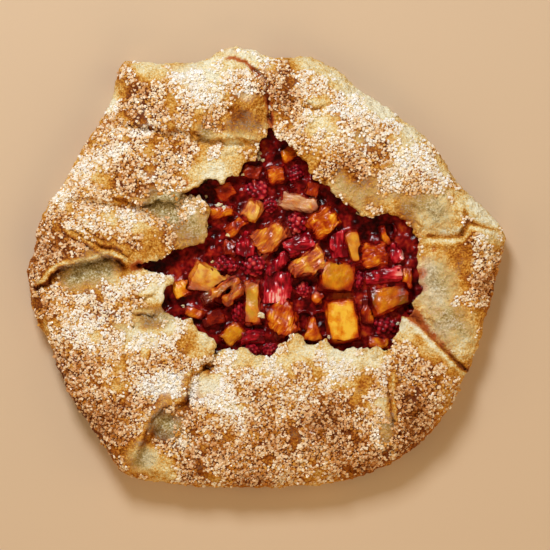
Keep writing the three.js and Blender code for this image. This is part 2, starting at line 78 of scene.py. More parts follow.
def pickOnly(*things):
    bpy.ops.object.select_all(action="DESELECT")
    for thing in things:
        thing.select_set(True)
    bpy.context.view_layer.objects.active = things[0]


def copyNodes(names, name):  # one new piece from copies of the frame's nodes
    pickOnly(*[frame["nodes"][n] for n in names])
    bpy.ops.object.duplicate()
    if len(names) > 1:
        bpy.ops.object.join()
    piece = bpy.context.active_object
    bpy.ops.object.parent_clear(type="CLEAR_KEEP_TRANSFORM")
    piece.name = piece.data.name = name
    piece.data.materials.clear()
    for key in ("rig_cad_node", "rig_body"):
        if key in piece:
            del piece[key]
    mergeDoubles(piece)
    return piece


def mergeDoubles(piece):
    pickOnly(piece)
    bpy.ops.object.mode_set(mode="EDIT")
    bpy.ops.mesh.select_all(action="SELECT")
    bpy.ops.mesh.remove_doubles(threshold=1e-6)
    bpy.ops.object.mode_set(mode="OBJECT")


def modify(piece, kind, **settings):  # add a modifier, set it and apply it
    pickOnly(piece)
    modifier = piece.modifiers.new(kind.title(), kind)
    for key, value in settings.items():
        setattr(modifier, key, value)
    bpy.ops.object.modifier_apply(modifier=modifier.name)


def remesh(piece, voxel):
    modify(piece, "REMESH", mode="VOXEL", voxel_size=voxel, use_smooth_shade=True)


def soften(piece, times):
    modify(piece, "SMOOTH", factor=0.5, iterations=times)


def roughen(piece, relief, group="", direction="NORMAL", **settings):  # relief is a size and a depth
    size, depth = relief
    texture = bpy.data.textures.new(piece.name + "Clouds", "CLOUDS")
    texture.noise_scale = size
    for key, value in settings.items():
        setattr(texture, key, value)
    modify(piece, "DISPLACE", texture=texture, strength=depth, mid_level=0.5, texture_coords="LOCAL",
           direction=direction, vertex_group=group)
    bpy.data.textures.remove(texture)


def swell(piece, distance):
    modify(piece, "DISPLACE", strength=distance, mid_level=0.0, direction="NORMAL")


def paint(piece, name, valueAt):  # one number for each vertex, from its place in mm and its normal
    layer = piece.data.attributes.new(name, "FLOAT", "POINT")
    layer.data.foreach_set("value", [valueAt(v.co / mm, v.normal) for v in piece.data.vertices])


def weigh(piece, name, weightAt):  # a vertex group
    group = piece.vertex_groups.new(name=name)
    steps = {}
    for v in piece.data.vertices:
        steps.setdefault(round(weightAt(v.co / mm, v.normal), 2), []).append(v.index)
    for weight, members in steps.items():
        group.add(members, weight, "REPLACE")


def moveEach(piece, moveBy):  # moves each vertex by a distance in mm
    moved = []
    for v in piece.data.vertices:
        moved.extend(v.co + moveBy(v.co / mm, v.normal) * mm)
    piece.data.vertices.foreach_set("co", moved)
    piece.data.update()


def settle(piece, look, nodes):  # material, smooth shading, and its place in the frame
    piece.data.materials.clear()
    piece.data.materials.append(look)
    pickOnly(piece)
    bpy.ops.object.shade_smooth()
    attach(piece, "root")
    if nodes:
        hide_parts(*nodes)


class Wire:  # a socket that adds and multiplies like a number
    def __init__(self, look, socket):
        self.look, self.socket = look, socket

    def __add__(self, other):
        return self.look.math("ADD", self, other)

    def __sub__(self, other):
        return self.look.math("SUBTRACT", self, other)

    def __rsub__(self, other):
        return self.look.math("SUBTRACT", other, self)

    def __mul__(self, other):
        return self.look.math("MULTIPLY", self, other)

    __radd__ = __add__
    __rmul__ = __mul__


class Look:  # a material in the making
    def __init__(self, name):
        self.material = bpy.data.materials.new(name)
        self.material.use_nodes = True
        self.tree = self.material.node_tree
        self.tree.nodes.clear()

    def node(self, kind, sockets=(), out=0, stops=(), **settings):
        made = self.tree.nodes.new(kind)
        for key, value in settings.items():
            setattr(made, key, value)
        if stops:
            ramp = made.color_ramp
            while len(ramp.elements) < len(stops):
                ramp.elements.new(1.0)
            for element, (place, colour) in zip(ramp.elements, stops):
                element.position = place
                element.color = (*colour, 1)
        for key, value in dict(sockets).items():
            if isinstance(value, Wire):
                self.tree.links.new(value.socket, made.inputs[key])
            else:
                made.inputs[key].default_value = value
        return Wire(self, made.outputs[out])

    def math(self, operation, a, b):
        return self.node("ShaderNodeMath", {0: a, 1: b}, operation=operation)

    def clamp(self, value, low=0.0, high=1.0):
        return self.node("ShaderNodeMapRange", {"Value": value, "From Min": low, "From Max": high})

    def blend(self, a, b, factor):
        return self.node("ShaderNodeMix", {0: factor, 6: a, 7: b}, out=2, data_type="RGBA")

    def ramp(self, value, stops):
        return self.node("ShaderNodeValToRGB", {0: value}, stops=stops)

    def attribute(self, name):
        return self.node("ShaderNodeAttribute", out="Fac", attribute_name=name)

    def noise(self, size, detail=2.0, vector=None, roughness=0.5):
        where = vector or self.node("ShaderNodeTexCoord", out="Object")
        return self.node("ShaderNodeTexNoise", {"Vector": where, "Scale": 1 / size, "Detail": detail,
                                                "Roughness": roughness})

    def bump(self, height, distance, strength=1.0, normal=None):
        sockets = {"Height": height, "Distance": distance, "Strength": strength}
        if normal:
            sockets["Normal"] = normal
        return self.node("ShaderNodeBump", sockets)

    def finish(self, **sockets):
        named = {key.replace("_", " "): value for key, value in sockets.items()}
        shader = self.node("ShaderNodeBsdfPrincipled", named)
        output = self.tree.nodes.new("ShaderNodeOutputMaterial")
        self.tree.links.new(shader.socket, output.inputs["Surface"])
        return self.material


# Places are x, y in mm from the middle of the galette, unless a note says otherwise.
crust = {
    "voxel": 1.05 * mm,
    "rounding": 4,  # passes of smoothing
    "waves": (13 * mm, 2.2 * mm),  # relief, from the broadest: its size and its depth
    "crags": (5 * mm, 2.4 * mm),
    "crumb": (2.6 * mm, 2.3 * mm),
    "kept": 0.55,  # share of the faces that stay, fewest where they are hidden
    "floor": 5,  # height of the floor inside
    "lowest": 6,  # no fold or crack is deeper than this
    "bake": 0.44,  # how brown it is where nothing else says
    "flap": 5.5,  # how far from a fold its flap is lifted
    "lean": 2.2,  # how far from a fold its edge leans over it
    "dip": 2.0,  # how wide the dip beside a fold is
    "crackDepth": 5,
    "crackWidth": 1.4,
    "opening": (15, 0),  # its middle
    "wander": [(5, 1.1), (1.9, 0.5)],  # how a fold strays from its line: sizes and heights
    "ragged": [(8, 3.6), (3.6, 1.6)],  # the edge of the opening: sizes and heights
    "mottled": [(17, 0.14), (6, 0.12)],  # the browning: sizes and amounts
    "bakedColours": [  # from raw to dark brown
        (0.0, (1.0, 0.94, 0.72)), (0.25, (0.92, 0.70, 0.31)), (0.5, (0.73, 0.34, 0.040)),
        (0.75, (0.43, 0.12, 0.007)), (1.0, (0.17, 0.034, 0.003)),
    ],
    # moist dough colours, from painted shade in the crumb's pits to painted highlight on its tops
    "moistColoursWithPaintedShade": [
        (0.3, (0.22, 0.13, 0.022)), (0.48, (0.46, 0.345, 0.135)), (0.66, (0.86, 0.79, 0.60)),
    ],
    "stainColour": (0.55, 0.13, 0.022, 1),
    "soakedColour": (0.20, 0.020, 0.006, 1),
    "frostColour": (0.95, 0.90, 0.79, 1),
    "folds": [  # lift of the flap on the left of the line, dip on its right, strength of the painted shade (with some browning) in the gap beside it and of the paler edge (partly the pastry's own, partly painted highlight), points
        (1, 0.8, 0.12, [
            (-95.9, 93.5), (-85.9, 89.1), (-72.2, 87.2), (-56.6, 86), (-43.4, 84.7), (-36.6, 78.5),
            (-22.2, 80.6), (-5.9, 78.4)]),
        (1.2, 1.8, 0.3, [
            (-95.9, 43.5), (-77.2, 39.1), (-65.3, 41.2), (-50.9, 46.6), (-37.8, 51)]),
        (1.2, 0.9, 0.25, [
            (-122.8, 24.7), (-113.4, 19.7), (-102.8, 13.4), (-94.7, 12.5), (-89.7, 10.3), (-86.6, 5.3)]),
        (1, 1.2, 0.25, [
            (-128.4, 23.4), (-123.1, 20.3), (-112.2, 14.9), (-104.1, 9.1)]),
        (0.9, 0.9, 0.3, [
            (-119.7, 31), (-110.9, 23.6), (-103.4, 18.2), (-95.9, 15.4)]),
        (0.8, 0.8, 0.25, [
            (-108.4, 11), (-100.9, 7.2), (-92.2, 5.4)]),
        (1.6, 2.4, 0.6, [
            (-147.8, -11.4), (-142.8, -12.6), (-136.6, -9.7), (-134.7, -5.9), (-128.7, -0.3),
            (-117.8, 1.3), (-107.2, 3.7), (-98.4, 6.9), (-90.3, 4.5), (-87.2, -0.9)]),
        (0.9, 0.9, 0.2, [
            (-84.1, -20.3), (-75.3, -18.4), (-67.2, -15.9)]),
        (1, 1.8, 0.35, [
            (-84.7, -29.7), (-76.6, -29.1), (-67.2, -30.9)]),
        (1, 0.7, 0.18, [
            (-81.9, -122.8), (-77.2, -109.7), (-71.6, -95.3), (-62.8, -87.2), (-49.1, -84),
            (-49.7, -69.7), (-41.6, -64)]),
        (2.4, 2.6, 0.5, [
            (129.7, -66.6), (124.7, -65.3), (116.9, -58.7), (107.8, -49.7), (99.1, -40.9),
            (91.3, -33.1), (82.8, -29.1)]),
        (1.3, 1.2, 0.3, [
            (78.4, -62.2), (77.2, -74), (78.4, -86.5), (80.9, -100.9)]),
        (2.2, 1.9, 0.4, [
            (147.8, 21.6), (134.1, 24.7), (127.2, 26.3), (125.3, 23.4), (122.8, 18.8), (113.8, 17.2),
            (105.9, 18.1), (97.5, 18.6)]),
        (0.6, 1.3, 0.35, [
            (126, 38), (125.6, 33), (126.4, 28)]),
        (1, 1.3, 0.2, [
            (22.8, 102.8), (29.1, 100.3), (37.8, 99.7)]),
        (0.8, 1.2, 0.2, [
            (71.6, 80.3), (76.6, 76), (81.6, 72.8)]),
        (0.8, 1.4, 0.3, [
            (40.9, 56.6), (37.8, 53.5), (37.2, 47.8)]),
    ],
    "crack": [(-27.2, 130.3), (-19.7, 130.3), (-12.2, 127.8), (-6.9, 121.8), (0.9, 116.2), (1.9, 103.5),
              (3.4, 92.2), (4.3, 84.3)],
    "hole": (-35.5, -64.0, 4.5, 6.5),  # x, y, reach, depth
    "brownedAndShaded": [  # x, y, reach in mm, amount; mostly browning, but painted shade in the hole at (-35.5, -64), at (-73, -37) and at (-13, 87) and (-29, 87)
        (-80, 102, 15, 0.55), (-93, 120, 8, 0.1), (-17, 98, 8, 0.2), (-12, 92, 12, 0.3),
        (-38, 88, 8, 0.2), (-62, 92, 7, 0.08), (10, 122, 14, 0.3), (12, 103, 10, 0.35),
        (-98, 92, 6, 0.2), (-88, 56, 14, 0.3), (-60, 72, 11, 0.3), (-93, 43, 12, 0.2),
        (-68, 48, 10, 0.2), (-58, 20, 14, 0.3), (-85, 15, 12, 0.3), (-70, 38, 9, 0.3),
        (-134, 28, 9, 0.3), (-140, 10, 9, 0.35), (-112, 3, 18, 0.25), (-72, -31, 8, 0.3),
        (-130, -62, 12, 0.35), (-120, -82, 14, 0.4), (-104, -97, 15, 0.55), (-90, -118, 12, 0.4),
        (-76, -84, 8, 0.2), (-112, -62, 10, 0.25), (-50, -48, 8, 0.3), (-35.5, -64, 5, 0.7),
        (-64, -103, 12, 0.45), (-60, -88, 12, 0.3), (-47, -82, 8, 0.2), (-30, -118, 25, 0.3),
        (8, -112, 18, 0.28), (44, -122, 22, 0.3), (-12, -132, 10, 0.2), (40, -90, 12, 0.45),
        (30, -66, 10, 0.3), (63, -70, 7, 0.35), (53, -90, 8, 0.15), (48, -106, 12, 0.25),
        (92, -95, 14, 0.6), (88, -78, 10, 0.35), (88, -112, 12, 0.35), (85, -62, 10, 0.3),
        (65, -122, 14, 0.35), (97, -52, 8, 0.2), (127, 18, 5, 0.35), (126, 33, 3, 0.35),
        (141, 6, 8, 0.35), (120, 6, 7, 0.3), (126, -8, 6, 0.25), (95, -44, 4, 0.3), (101, -60, 5, 0.2),
        (138, -12, 8, 0.55), (127, -62, 8, 0.2), (138, -28, 7, 0.2), (68, 80, 8, 0.18),
        (55, 57, 14, 0.25), (90, 40, 12, 0.2), (-66, -94, 4, 0.2), (-69, -102, 4, 0.2),
        (-76, -110, 5, 0.4), (-80, -120, 5, 0.35), (-90, 116, 6, 0.15), (-128, 12, 10, 0.25),
        (-45, 22, 9, 0.2), (-143, -4, 9, 0.3), (-138, -25, 8, 0.15), (-35, 110, 16, 0.12),
        (-30, 62, 12, 0.04), (58, 76, 24, 0.14), (104, -64, 10, 0.15), (90, -90, 14, 0.1),
        (-108, -28, 14, 0.15), (92, 24, 6, 0.5), (88, 32, 5, 0.4), (100, -12, 14, 0.12),
        (118, -34, 12, 0.12), (-105, 80, 9, 0.2), (45, 70, 14, 0.12), (100, 45, 12, 0.15),
        (-48, -88, 6, 0.2), (-82, 65, 12, 0.3), (-62, 60, 6, 0.2), (-70, -60, 12, 0.22),
        (-73, -37, 7, 0.4), (-64, -27, 5, 0.5), (-13, 87, 10, 0.25), (-29, 87, 7, 0.18),
        (22, -100, 11, 0.28), (32, -98, 8, 0.15), (-11, -80, 13, 0.25), (-90, -1, 5, 0.5),
        (-3, 113, 6, 0.3), (-143, -23, 7, 0.3), (137, -10, 6, 0.2), (67, 35, 5, 0.2),
        (-116, -54, 8, 0.25), (-46, -123, 8, 0.25), (14, 105, 10, 0.2), (102, -71, 7, 0.25),
        (-90, -27, 8, 0.2), (-86, -88, 10, 0.38), (-100, -98, 6, 0.15), (-90, -106, 7, 0.2),
        (-3, -97, 8, 0.2), (-77, 95, 7, 0.3), (128, 12, 6, 0.3), (-3, -132, 7, 0.3), (50, 87, 7, 0.2),
        (76, 69, 6, 0.2), (-46, 69, 7, 0.25), (-99, 16, 6, 0.25), (-82, -18, 6, 0.25),
        (-134, -27, 6, 0.2), (-55, -62, 6, 0.25), (-64, -106, 5, 0.2), (73, -98, 6, 0.15),
        (-38, -88, 5, 0.15),
    ],
    # paler patches; a few, as at (-20, 77) and (-55, -88), are painted light where a fold's dip shades
    # the crust
    "pale": [
        (-38, 118, 18, 0.5), (-5, 134, 14, 0.5), (-75, 128, 12, 0.35), (-35, 66, 12, 0.25),
        (-12, 82, 6, 0.3), (-102, 68, 10, 0.3), (-128, 42, 8, 0.35), (-90, 32, 14, 0.3),
        (-45, 42, 8, 0.25), (-42, 28, 8, 0.15), (-115, 60, 8, 0.25), (-70, -7, 16, 0.35),
        (-95, -7, 8, 0.3), (-82, -43, 11, 0.3), (-115, -40, 14, 0.25), (-57, -35, 10, 0.4),
        (-35, -72, 10, 0.4), (-20, -87, 12, 0.35), (-60, -75, 8, 0.25), (5, -60, 10, 0.45),
        (45, -60, 16, 0.5), (-20, -58, 12, 0.35), (70, -60, 8, 0.35), (72, -85, 7, 0.3),
        (75, -100, 8, 0.2), (95, -42, 10, 0.35), (25, -85, 8, 0.2), (-60, -127, 8, 0.3),
        (-28, -132, 8, 0.25), (-72, -118, 6, 0.35), (103, -8, 12, 0.35), (108, -25, 10, 0.25),
        (125, -45, 7, 0.2), (112, -42, 8, 0.25), (30, 92, 10, 0.35), (45, 82, 12, 0.4),
        (68, 102, 14, 0.4), (90, 80, 12, 0.35), (110, 60, 10, 0.3), (85, 68, 8, 0.3),
        (105, 35, 12, 0.35), (55, 105, 12, 0.3), (40, 120, 14, 0.25), (80, 58, 9, 0.3),
        (-110, -118, 8, 0.2), (-80, -119, 10, 0.5), (-73, -108, 5, 0.3), (133, 38, 9, 0.5),
        (143, 28, 6, 0.45), (112, 20, 4, 0.4), (120, 22, 4, 0.3), (45, 48, 8, 0.2), (65, 32, 6, 0.3),
        (-97, 101, 7, 0.9), (-91, -78, 6, 0.15), (23, -54, 8, 0.35), (-74, -91, 6, 0.3),
        (-12, 104, 6, 0.2), (136, 17, 6, 0.35), (146, 16, 5, 0.3), (-82, 26, 7, 0.3), (76, 96, 8, 0.3),
        (23, 130, 7, 0.35), (-107, -45, 7, 0.3), (5, -123, 7, 0.15), (32, -132, 9, 0.25),
        (-38, -45, 6, 0.3), (-90, 112, 7, 0.25), (120, -54, 6, 0.3), (-90, 86, 7, 0.25),
        (-99, 51, 7, 0.2), (-20, 77, 6, 0.35), (-32, 57, 8, 0.3), (102, -53, 5, 0.3),
        (-73, -44, 9, 0.42), (-64, -18, 5, 0.3), (-73, 69, 6, 0.3), (-73, 60, 5, 0.2), (93, 25, 5, 0.3),
        (-99, 34, 6, 0.25), (-90, -18, 6, 0.3), (-55, -88, 5, 0.25), (-116, 25, 6, 0.3),
        (-29, 104, 6, 0.3), (-20, -89, 6, 0.3), (85, -36, 4, 0.3), (58, -115, 5, 0.2),
        (-73, 25, 6, 0.25), (76, -71, 6, 0.25), (58, 78, 6, 0.15), (-47, 59, 5, 0.2),
    ],
    "bare": [  # hardly any sugar
        (-12, 90, 14, 1), (-7, 99, 7, 1), (-72, 126, 8, 1), (-50, 130, 8, 1), (-35, 132, 8, 1),
        (-92, 110, 6, 1), (-10, 128, 6, 1), (22, 128, 8, 1), (-28, 59, 10, 1), (-43, 54, 8, 1),
        (-16, 62, 6, 1), (-68, 38, 9, 0.8), (-41, 26, 9, 1), (-50, 13, 8, 1), (-72, 7, 9, 1),
        (-103, 5, 9, 0.8), (-90, 10, 6, 1), (-110, -3, 9, 1), (-122, -5, 8, 1), (-66, -21, 8, 0.8),
        (-57, -12, 5, 1), (-88, -36, 8, 0.5), (-44, -46, 8, 1), (-33, -49, 5, 1), (-37, -71, 6, 0.8),
        (-63, -99, 8, 1), (-75, -121, 6, 1), (-63, -128, 8, 1), (-10, -55, 8, 1), (22, -52, 9, 1),
        (50, -49, 8, 1), (68, -52, 6, 1), (60, -72, 6, 1), (74, -102, 5, 1), (74, -86, 5, 0.7),
        (87, -36, 7, 1), (102, 3, 9, 1), (107, -15, 11, 1), (112, -33, 10, 0.9), (118, -49, 7, 0.8),
        (118, 7, 8, 1), (139, 24, 6, 1), (109, 32, 10, 0.9), (97, 38, 8, 0.9), (81, 38, 8, 0.9),
        (59, 45, 9, 0.9), (47, 51, 6, 1), (28, 63, 5, 1), (50, 120, 6, 0.7), (68, 104, 5, 0.5),
        (87, 85, 5, 0.5), (109, 63, 5, 0.6), (125, 45, 5, 0.9), (37, 104, 4, 0.8), (95, -38, 6, 1),
        (104, -46, 6, 1), (112, -55, 6, 0.8), (120, -60, 6, 0.8), (96, -46, 5, 0.8), (106, -56, 5, 0.8),
        (117, -66, 5, 0.6), (117, 3, 8, 0.8), (95, -28, 6, 1), (100, -32, 5, 1), (133, 40, 7, 1),
        (141, 33, 6, 1), (135, 31, 5, 1), (133, -32, 8, 0.8), (128, -45, 7, 0.7), (120, -8, 6, 1),
        (125, 8, 5, 0.8), (105, 20, 6, 0.8), (115, 24, 5, 0.8), (96, 24, 5, 0.8), (-84, -1, 4, 1),
        (-77, 1, 4, 1), (-78, -117, 9, 1), (-70, -126, 6, 1), (55, 117, 9, 0.8), (66, 109, 8, 0.7),
        (77, 101, 8, 0.6), (36, 127, 8, 0.6), (95, 84, 7, 0.5), (-19, 128, 4, 1), (88, -42, 6, 0.8),
        (-66, -84, 4, 0.6), (-37, 80, 6, 0.8), (-73, -35, 6, 1), (-144, -23, 4, 0.6), (-64, -27, 5, 1),
        (-90, -1, 5, 1),
    ],
    "olive": [  # moist dough, hardly browned; on the plate at the right, about (106, -12) to (113, -35), and at (-75, -32) it is partly painted shade
        (-12, 88, 12, 0.3), (-30, 83, 9, 0.2), (-68, 38, 9, 0.9), (-58, 42, 8, 0.8), (-50, 36, 9, 0.6),
        (-46, 18, 10, 0.45), (-57, 30, 8, 0.5), (-112, -3, 9, 0.9), (-100, -1, 8, 0.8),
        (-122, -7, 7, 0.7), (-75, -32, 7, 0.6), (-64, -32, 6, 0.7), (-63, -98, 8, 0.9),
        (-56, -104, 7, 0.5), (-75, -121, 7, 0.4), (-90, -38, 8, 0.3), (108, 33, 11, 0.55),
        (92, 38, 10, 0.45), (60, 45, 10, 0.5), (46, 52, 8, 0.4), (74, -98, 7, 0.6), (74, -82, 5, 0.4),
        (106, -12, 13, 0.7), (113, -35, 11, 0.65), (30, -110, 12, 0.2), (-48, -118, 8, 0.3),
        (62, 83, 8, 0.4), (-100, 70, 8, 0.2), (-38, 82, 6, 0.6), (-40, 26, 8, 0.4), (-78, -119, 9, 0.5),
        (104, -2, 9, 0.3), (118, -30, 9, 0.2), (-54, -29, 6, 0.6), (103, 46, 10, 0.35),
        (78, 52, 10, 0.3), (75, -110, 6, 0.6), (125, -42, 8, 0.4), (80, 56, 8, 0.4),
    ],
    "stained": [  # where red juice has run
        (0, 116, 2, 0.4), (2, 104, 2, 0.5), (3, 92, 2, 0.6), (105, 11, 2, 0.35), (97, -6, 3, 0.45),
        (98, -13, 3, 0.5), (-50, 52, 3, 0.4), (92, -30, 4, 0.8), (96, -34, 3.5, 0.6),
        (100, -38.5, 3, 0.55), (104.5, -43.5, 3, 0.5), (109.5, -48.5, 3, 0.4), (114.5, -53.5, 3, 0.3),
        (88, 19, 4, 0.4), (98, -3, 3, 0.5), (94, 14, 3, 0.5), (-83, -0.5, 2.5, 0.6), (-79, 1, 2.5, 1.2),
        (-60, -26, 3.5, 0.6),
    ],
    "lip": [  # how far the edge of the opening stands out or back, beyond the frame's
        (-80, 8, 10, 2.2), (-65, 12, 10, 2.4), (-52, 18, 8, 1.4), (57, -50, 10, -1.8), (-44, -44, 8, 2),
        (-60, -27, 6, -2.6), (67, 31, 6, -1.5), (-32, -46, 6, 1.8), (-29, 50, 6, -1.5),
        (92, 26, 5, 1.3), (15, -45, 6, 1.2), (93, 16, 4, 1),
    ],
    "frosted": [  # fine white sugar
        (-51, 121, 9, 0.8), (-40, 114, 9, 0.7), (-11, 108, 6, 0.7), (-80, 104, 7, 0.45),
        (-76, 88, 8, 0.8), (-90, 74, 7, 0.5), (-70, 58, 9, 0.5), (-55, 70, 8, 0.4), (-94, -14, 5, 0.4),
        (-71, -8, 8, 0.6), (-112, -14, 8, 0.35), (-101, -31, 11, 0.45), (-117, -43, 8, 0.35),
        (-74, -74, 7, 0.8), (-57, -73, 8, 1), (-66, -82, 8, 0.6), (-34, -74, 8, 0.8), (20, 114, 7, 0.3),
        (43, 96, 9, 0.5), (65, 75, 8, 0.5), (85, 80, 12, 0.5), (105, 58, 10, 0.5), (-6, -78, 6, 0.25),
        (25, -108, 7, 0.3), (75, -112, 9, 0.4), (96, -70, 6, 0.3), (137, 8, 7, 0.4), (101, 2, 6, 1),
        (102, -10, 8, 1), (107, -22, 9, 0.9), (116, -38, 8, 0.6), (-23, 135, 5, 1), (-62, -73, 6, 0.6),
        (-42, -78, 7, 0.7), (-30, -85, 6, 0.6), (-58, -108, 6, 0.5), (45, -62, 9, 0.3),
        (108, -38, 7, 0.4), (-46, -84, 6, 0.6), (-70, -96, 5, 0.4), (-90, -78, 5, 0.3),
        (-13, 104, 6, 0.5), (23, -53, 6, 0.4), (-76, -45, 8, 0.5), (-62, -44, 6, 0.4),
        (-20, -89, 5, 0.4),
    ],
}


def patchSum(patches, x, y):  # soft round patches, added up
    total = 0.0
    for px, py, reach, amount in patches:
        away = ((x - px) ** 2 + (y - py) ** 2) / (reach * reach)
        if away < 5:
            total += amount * math.exp(-away)
    return total


# The distance to a line, positive on its left, a fade at its ends, and the direction to its left.
def besideLine(points, x, y):
    best, side, along, total = 1e9, 1.0, 0.0, 0.0
    for (ax, ay), (bx, by) in zip(points, points[1:]):
        dx, dy = bx - ax, by - ay
        length = math.hypot(dx, dy)
        t = min(1.0, max(0.0, ((x - ax) * dx + (y - ay) * dy) / (length * length)))
        distance = math.hypot(x - ax - t * dx, y - ay - t * dy)
        if distance < best:
            best, along = distance, total + t * length
            side = 1.0 if dx * (y - ay) - dy * (x - ax) > 0 else -1.0
            across = (-dy / length, dx / length)
        total += length
    return best * side, ease(along, -0.1, 5) * ease(total - along, -0.1, 5), across


def isNear(points, x, y, margin):  # inside the box round a line
    return (min(q[0] for q in points) - margin < x < max(q[0] for q in points) + margin
            and min(q[1] for q in points) - margin < y < max(q[1] for q in points) + margin)


def foldShift(p, n):  # raises the flaps and sinks the folds beside them, the crack and the hole
    shift = Vector((0, 0, 0))
    if n.z < -0.2 or p.z < 8:
        return shift
    wander = rough(p, crust["wander"])
    for lift, dip, shade, points in crust["folds"]:
        if isNear(points, p.x, p.y, 12):
            side, fade, across = besideLine(points, p.x, p.y)
            side += wander * (1 - 0.5 * shade)
            if side > 0:
                shift.z += fade * lift * math.exp(-(side / crust["flap"]) ** 2)
                lean = fade * math.exp(-(side / crust["lean"]) ** 2)
                shift.x -= lean * across[0]
                shift.y -= lean * across[1]
            else:
                shift.z -= fade * dip * math.exp(-(side / crust["dip"]) ** 2)
    if isNear(crust["crack"], p.x, p.y, 8):
        side, fade = besideLine(crust["crack"], p.x, p.y)[:2]
        deep = crust["crackDepth"] * fade * ease(p.y, 129, 119)
        shift.z -= deep * math.exp(-((side + wander * 0.5) / crust["crackWidth"]) ** 2)
    x, y, reach, depth = crust["hole"]
    shift.z -= depth * math.exp(-((p.x - x) ** 2 + (p.y - y) ** 2 * 2.5) / reach ** 2)
    shift.z = max(shift.z, crust["lowest"] - p.z)
    return shift


def lipAt(p, n):  # 1 on the edge around the opening
    x, y = crust["opening"]
    towards = Vector((x - p.x, y - p.y, 0)).normalized()
    return ease(n.dot(towards), 0.15, 0.6) * ease(p.z, 12, 17)


def lipShift(p, n):  # a ragged edge around the opening
    lip = lipAt(p, n)
    if lip == 0:
        return Vector((0, 0, 0))
    flat = Vector((p.x, p.y, 0))
    return n * lip * (rough(flat, crust["ragged"]) + patchSum(crust["lip"], p.x, p.y))


def foldLines(p):  # how near a point is to the gap beside a fold, and to the fold's own edge: painted shade in the gap, a paler edge that is partly painted highlight
    gap, edge = 0.0, 0.0
    wander = noise.noise(p / 5) * 0.6
    for fold in crust["folds"]:
        shade, points = fold[2:]
        if isNear(points, p.x, p.y, 5):
            side, fade = besideLine(points, p.x, p.y)[:2]
            gap = max(gap, shade * fade * math.exp(-((side + wander + 0.9) / 1.4) ** 2))
            edge = max(edge, shade * fade * math.exp(-((side + wander - 1.9) / 1.3) ** 2))
    return gap, edge


def bakeAndShadeAt(p, n):  # 0 is raw, 1 is dark brown; from browning, and from painted shade in the fold gaps and in some patches
    # darker towards the bottom
    low = 0.06 * (1 - ease(p.z, 5, 24))
    patches = patchSum(crust["brownedAndShaded"], p.x, p.y) - patchSum(crust["pale"], p.x, p.y)
    gap, edge = foldLines(p)
    # gap is painted shade with some browning beside each fold; edge is paler, partly the pastry's own and
    # partly painted highlight
    return crust["bake"] + rough(p, crust["mottled"]) + low + patches + gap - edge * 0.8


def sugarAt(p, n):  # how thick the grains lie
    bare = patchSum(crust["bare"], p.x, p.y)
    gap, edge = foldLines(p)
    clumps = 0.66 + 0.9 * noise.noise(p / 9 + Vector((7, 3, 1))) - 1.3 * bare - 2 * (gap + edge)
    return ease(n.z, 0.2, 0.6) * ease(p.z, 12, 20) * ease(clumps, 0.1, 0.6)


def oliveAt(p, n):
    return patchSum(crust["olive"], p.x, p.y) + noise.noise(p / 5 + Vector((0, 0, 20))) * 0.3


def frostAt(p, n):
    return patchSum(crust["frosted"], p.x, p.y) + noise.noise(p / 6 + Vector((40, 0, 0))) * 0.35


def stainAt(p, n):
    stain = patchSum(crust["stained"], p.x, p.y) * 1.2
    if isNear(crust["crack"], p.x, p.y, 6):
        side, fade = besideLine(crust["crack"], p.x, p.y)[:2]
        strong = fade * (0.55 + 0.45 * ease(p.y, 128, 115))
        stain += strong * math.exp(-((side + noise.noise(p / 4)) / 1.5) ** 2)
    return stain + noise.noise(p / 3) * 0.3 * min(1, stain)


def skinAt(p, n):  # 1 on the crust that shows, 0 on the underside and on the floor inside
    return 0 if p.z < crust["lowest"] and n.z > 0.9 else ease(p.z, 1.5, 7)


def makeCrust():
    piece = copyNodes(["crust"], "crustPastry")
    modify(piece, "SUBSURF", levels=1, render_levels=1)
    remesh(piece, crust["voxel"])
    soften(piece, crust["rounding"])
    weigh(piece, "skin", skinAt)
    roughen(piece, crust["waves"], "skin", noise_depth=1)
    moveEach(piece, foldShift)
    roughen(piece, crust["crags"], "skin", "RGB_TO_XYZ", noise_depth=1, cloud_type="COLOR")
    moveEach(piece, lipShift)
    weigh(piece, "crumb", lambda p, n: skinAt(p, n) * (1 - 0.6 * lipAt(p, n)))
    roughen(piece, crust["crumb"], "crumb", noise_depth=2)
    weigh(piece, "hidden", lambda p, n: ease(-n.z, -0.2, 0.3) if p.z > crust["lowest"] else 1)
    modify(piece, "DECIMATE", ratio=crust["kept"], vertex_group="hidden")
    moveEach(piece, lambda p, n: Vector((0, 0, -p.z if p.z < 0.6 and n.z < -0.7 else max(0.0, -p.z))))
    flattenUnderside(piece)
    paint(piece, "bake", bakeAndShadeAt)
    paint(piece, "sugar", sugarAt)
    paint(piece, "stain", stainAt)
    paint(piece, "olive", oliveAt)
    paint(piece, "frost", frostAt)
    settle(piece, crustLook(), ["crust"])
    print("crust:", len(piece.data.polygons), "faces")
    return piece


def flattenUnderside(piece):  # one face under the crust, and one for its floor, instead of thousands
    bpy.context.tool_settings.mesh_select_mode = (False, False, True)
    for face in piece.data.polygons:
        z = (face.center / mm).z
        face.select = z < 0.01 or (abs(z - crust["floor"]) < 0.05 and face.normal.z > 0.99)
    bpy.ops.object.mode_set(mode="EDIT")
    bpy.ops.mesh.delete(type="FACE")
    bpy.ops.mesh.select_all(action="SELECT")
    bpy.ops.mesh.fill_holes(sides=0)
    bpy.ops.mesh.select_all(action="SELECT")
    bpy.ops.mesh.normals_make_consistent(inside=False)
    bpy.ops.object.mode_set(mode="OBJECT")


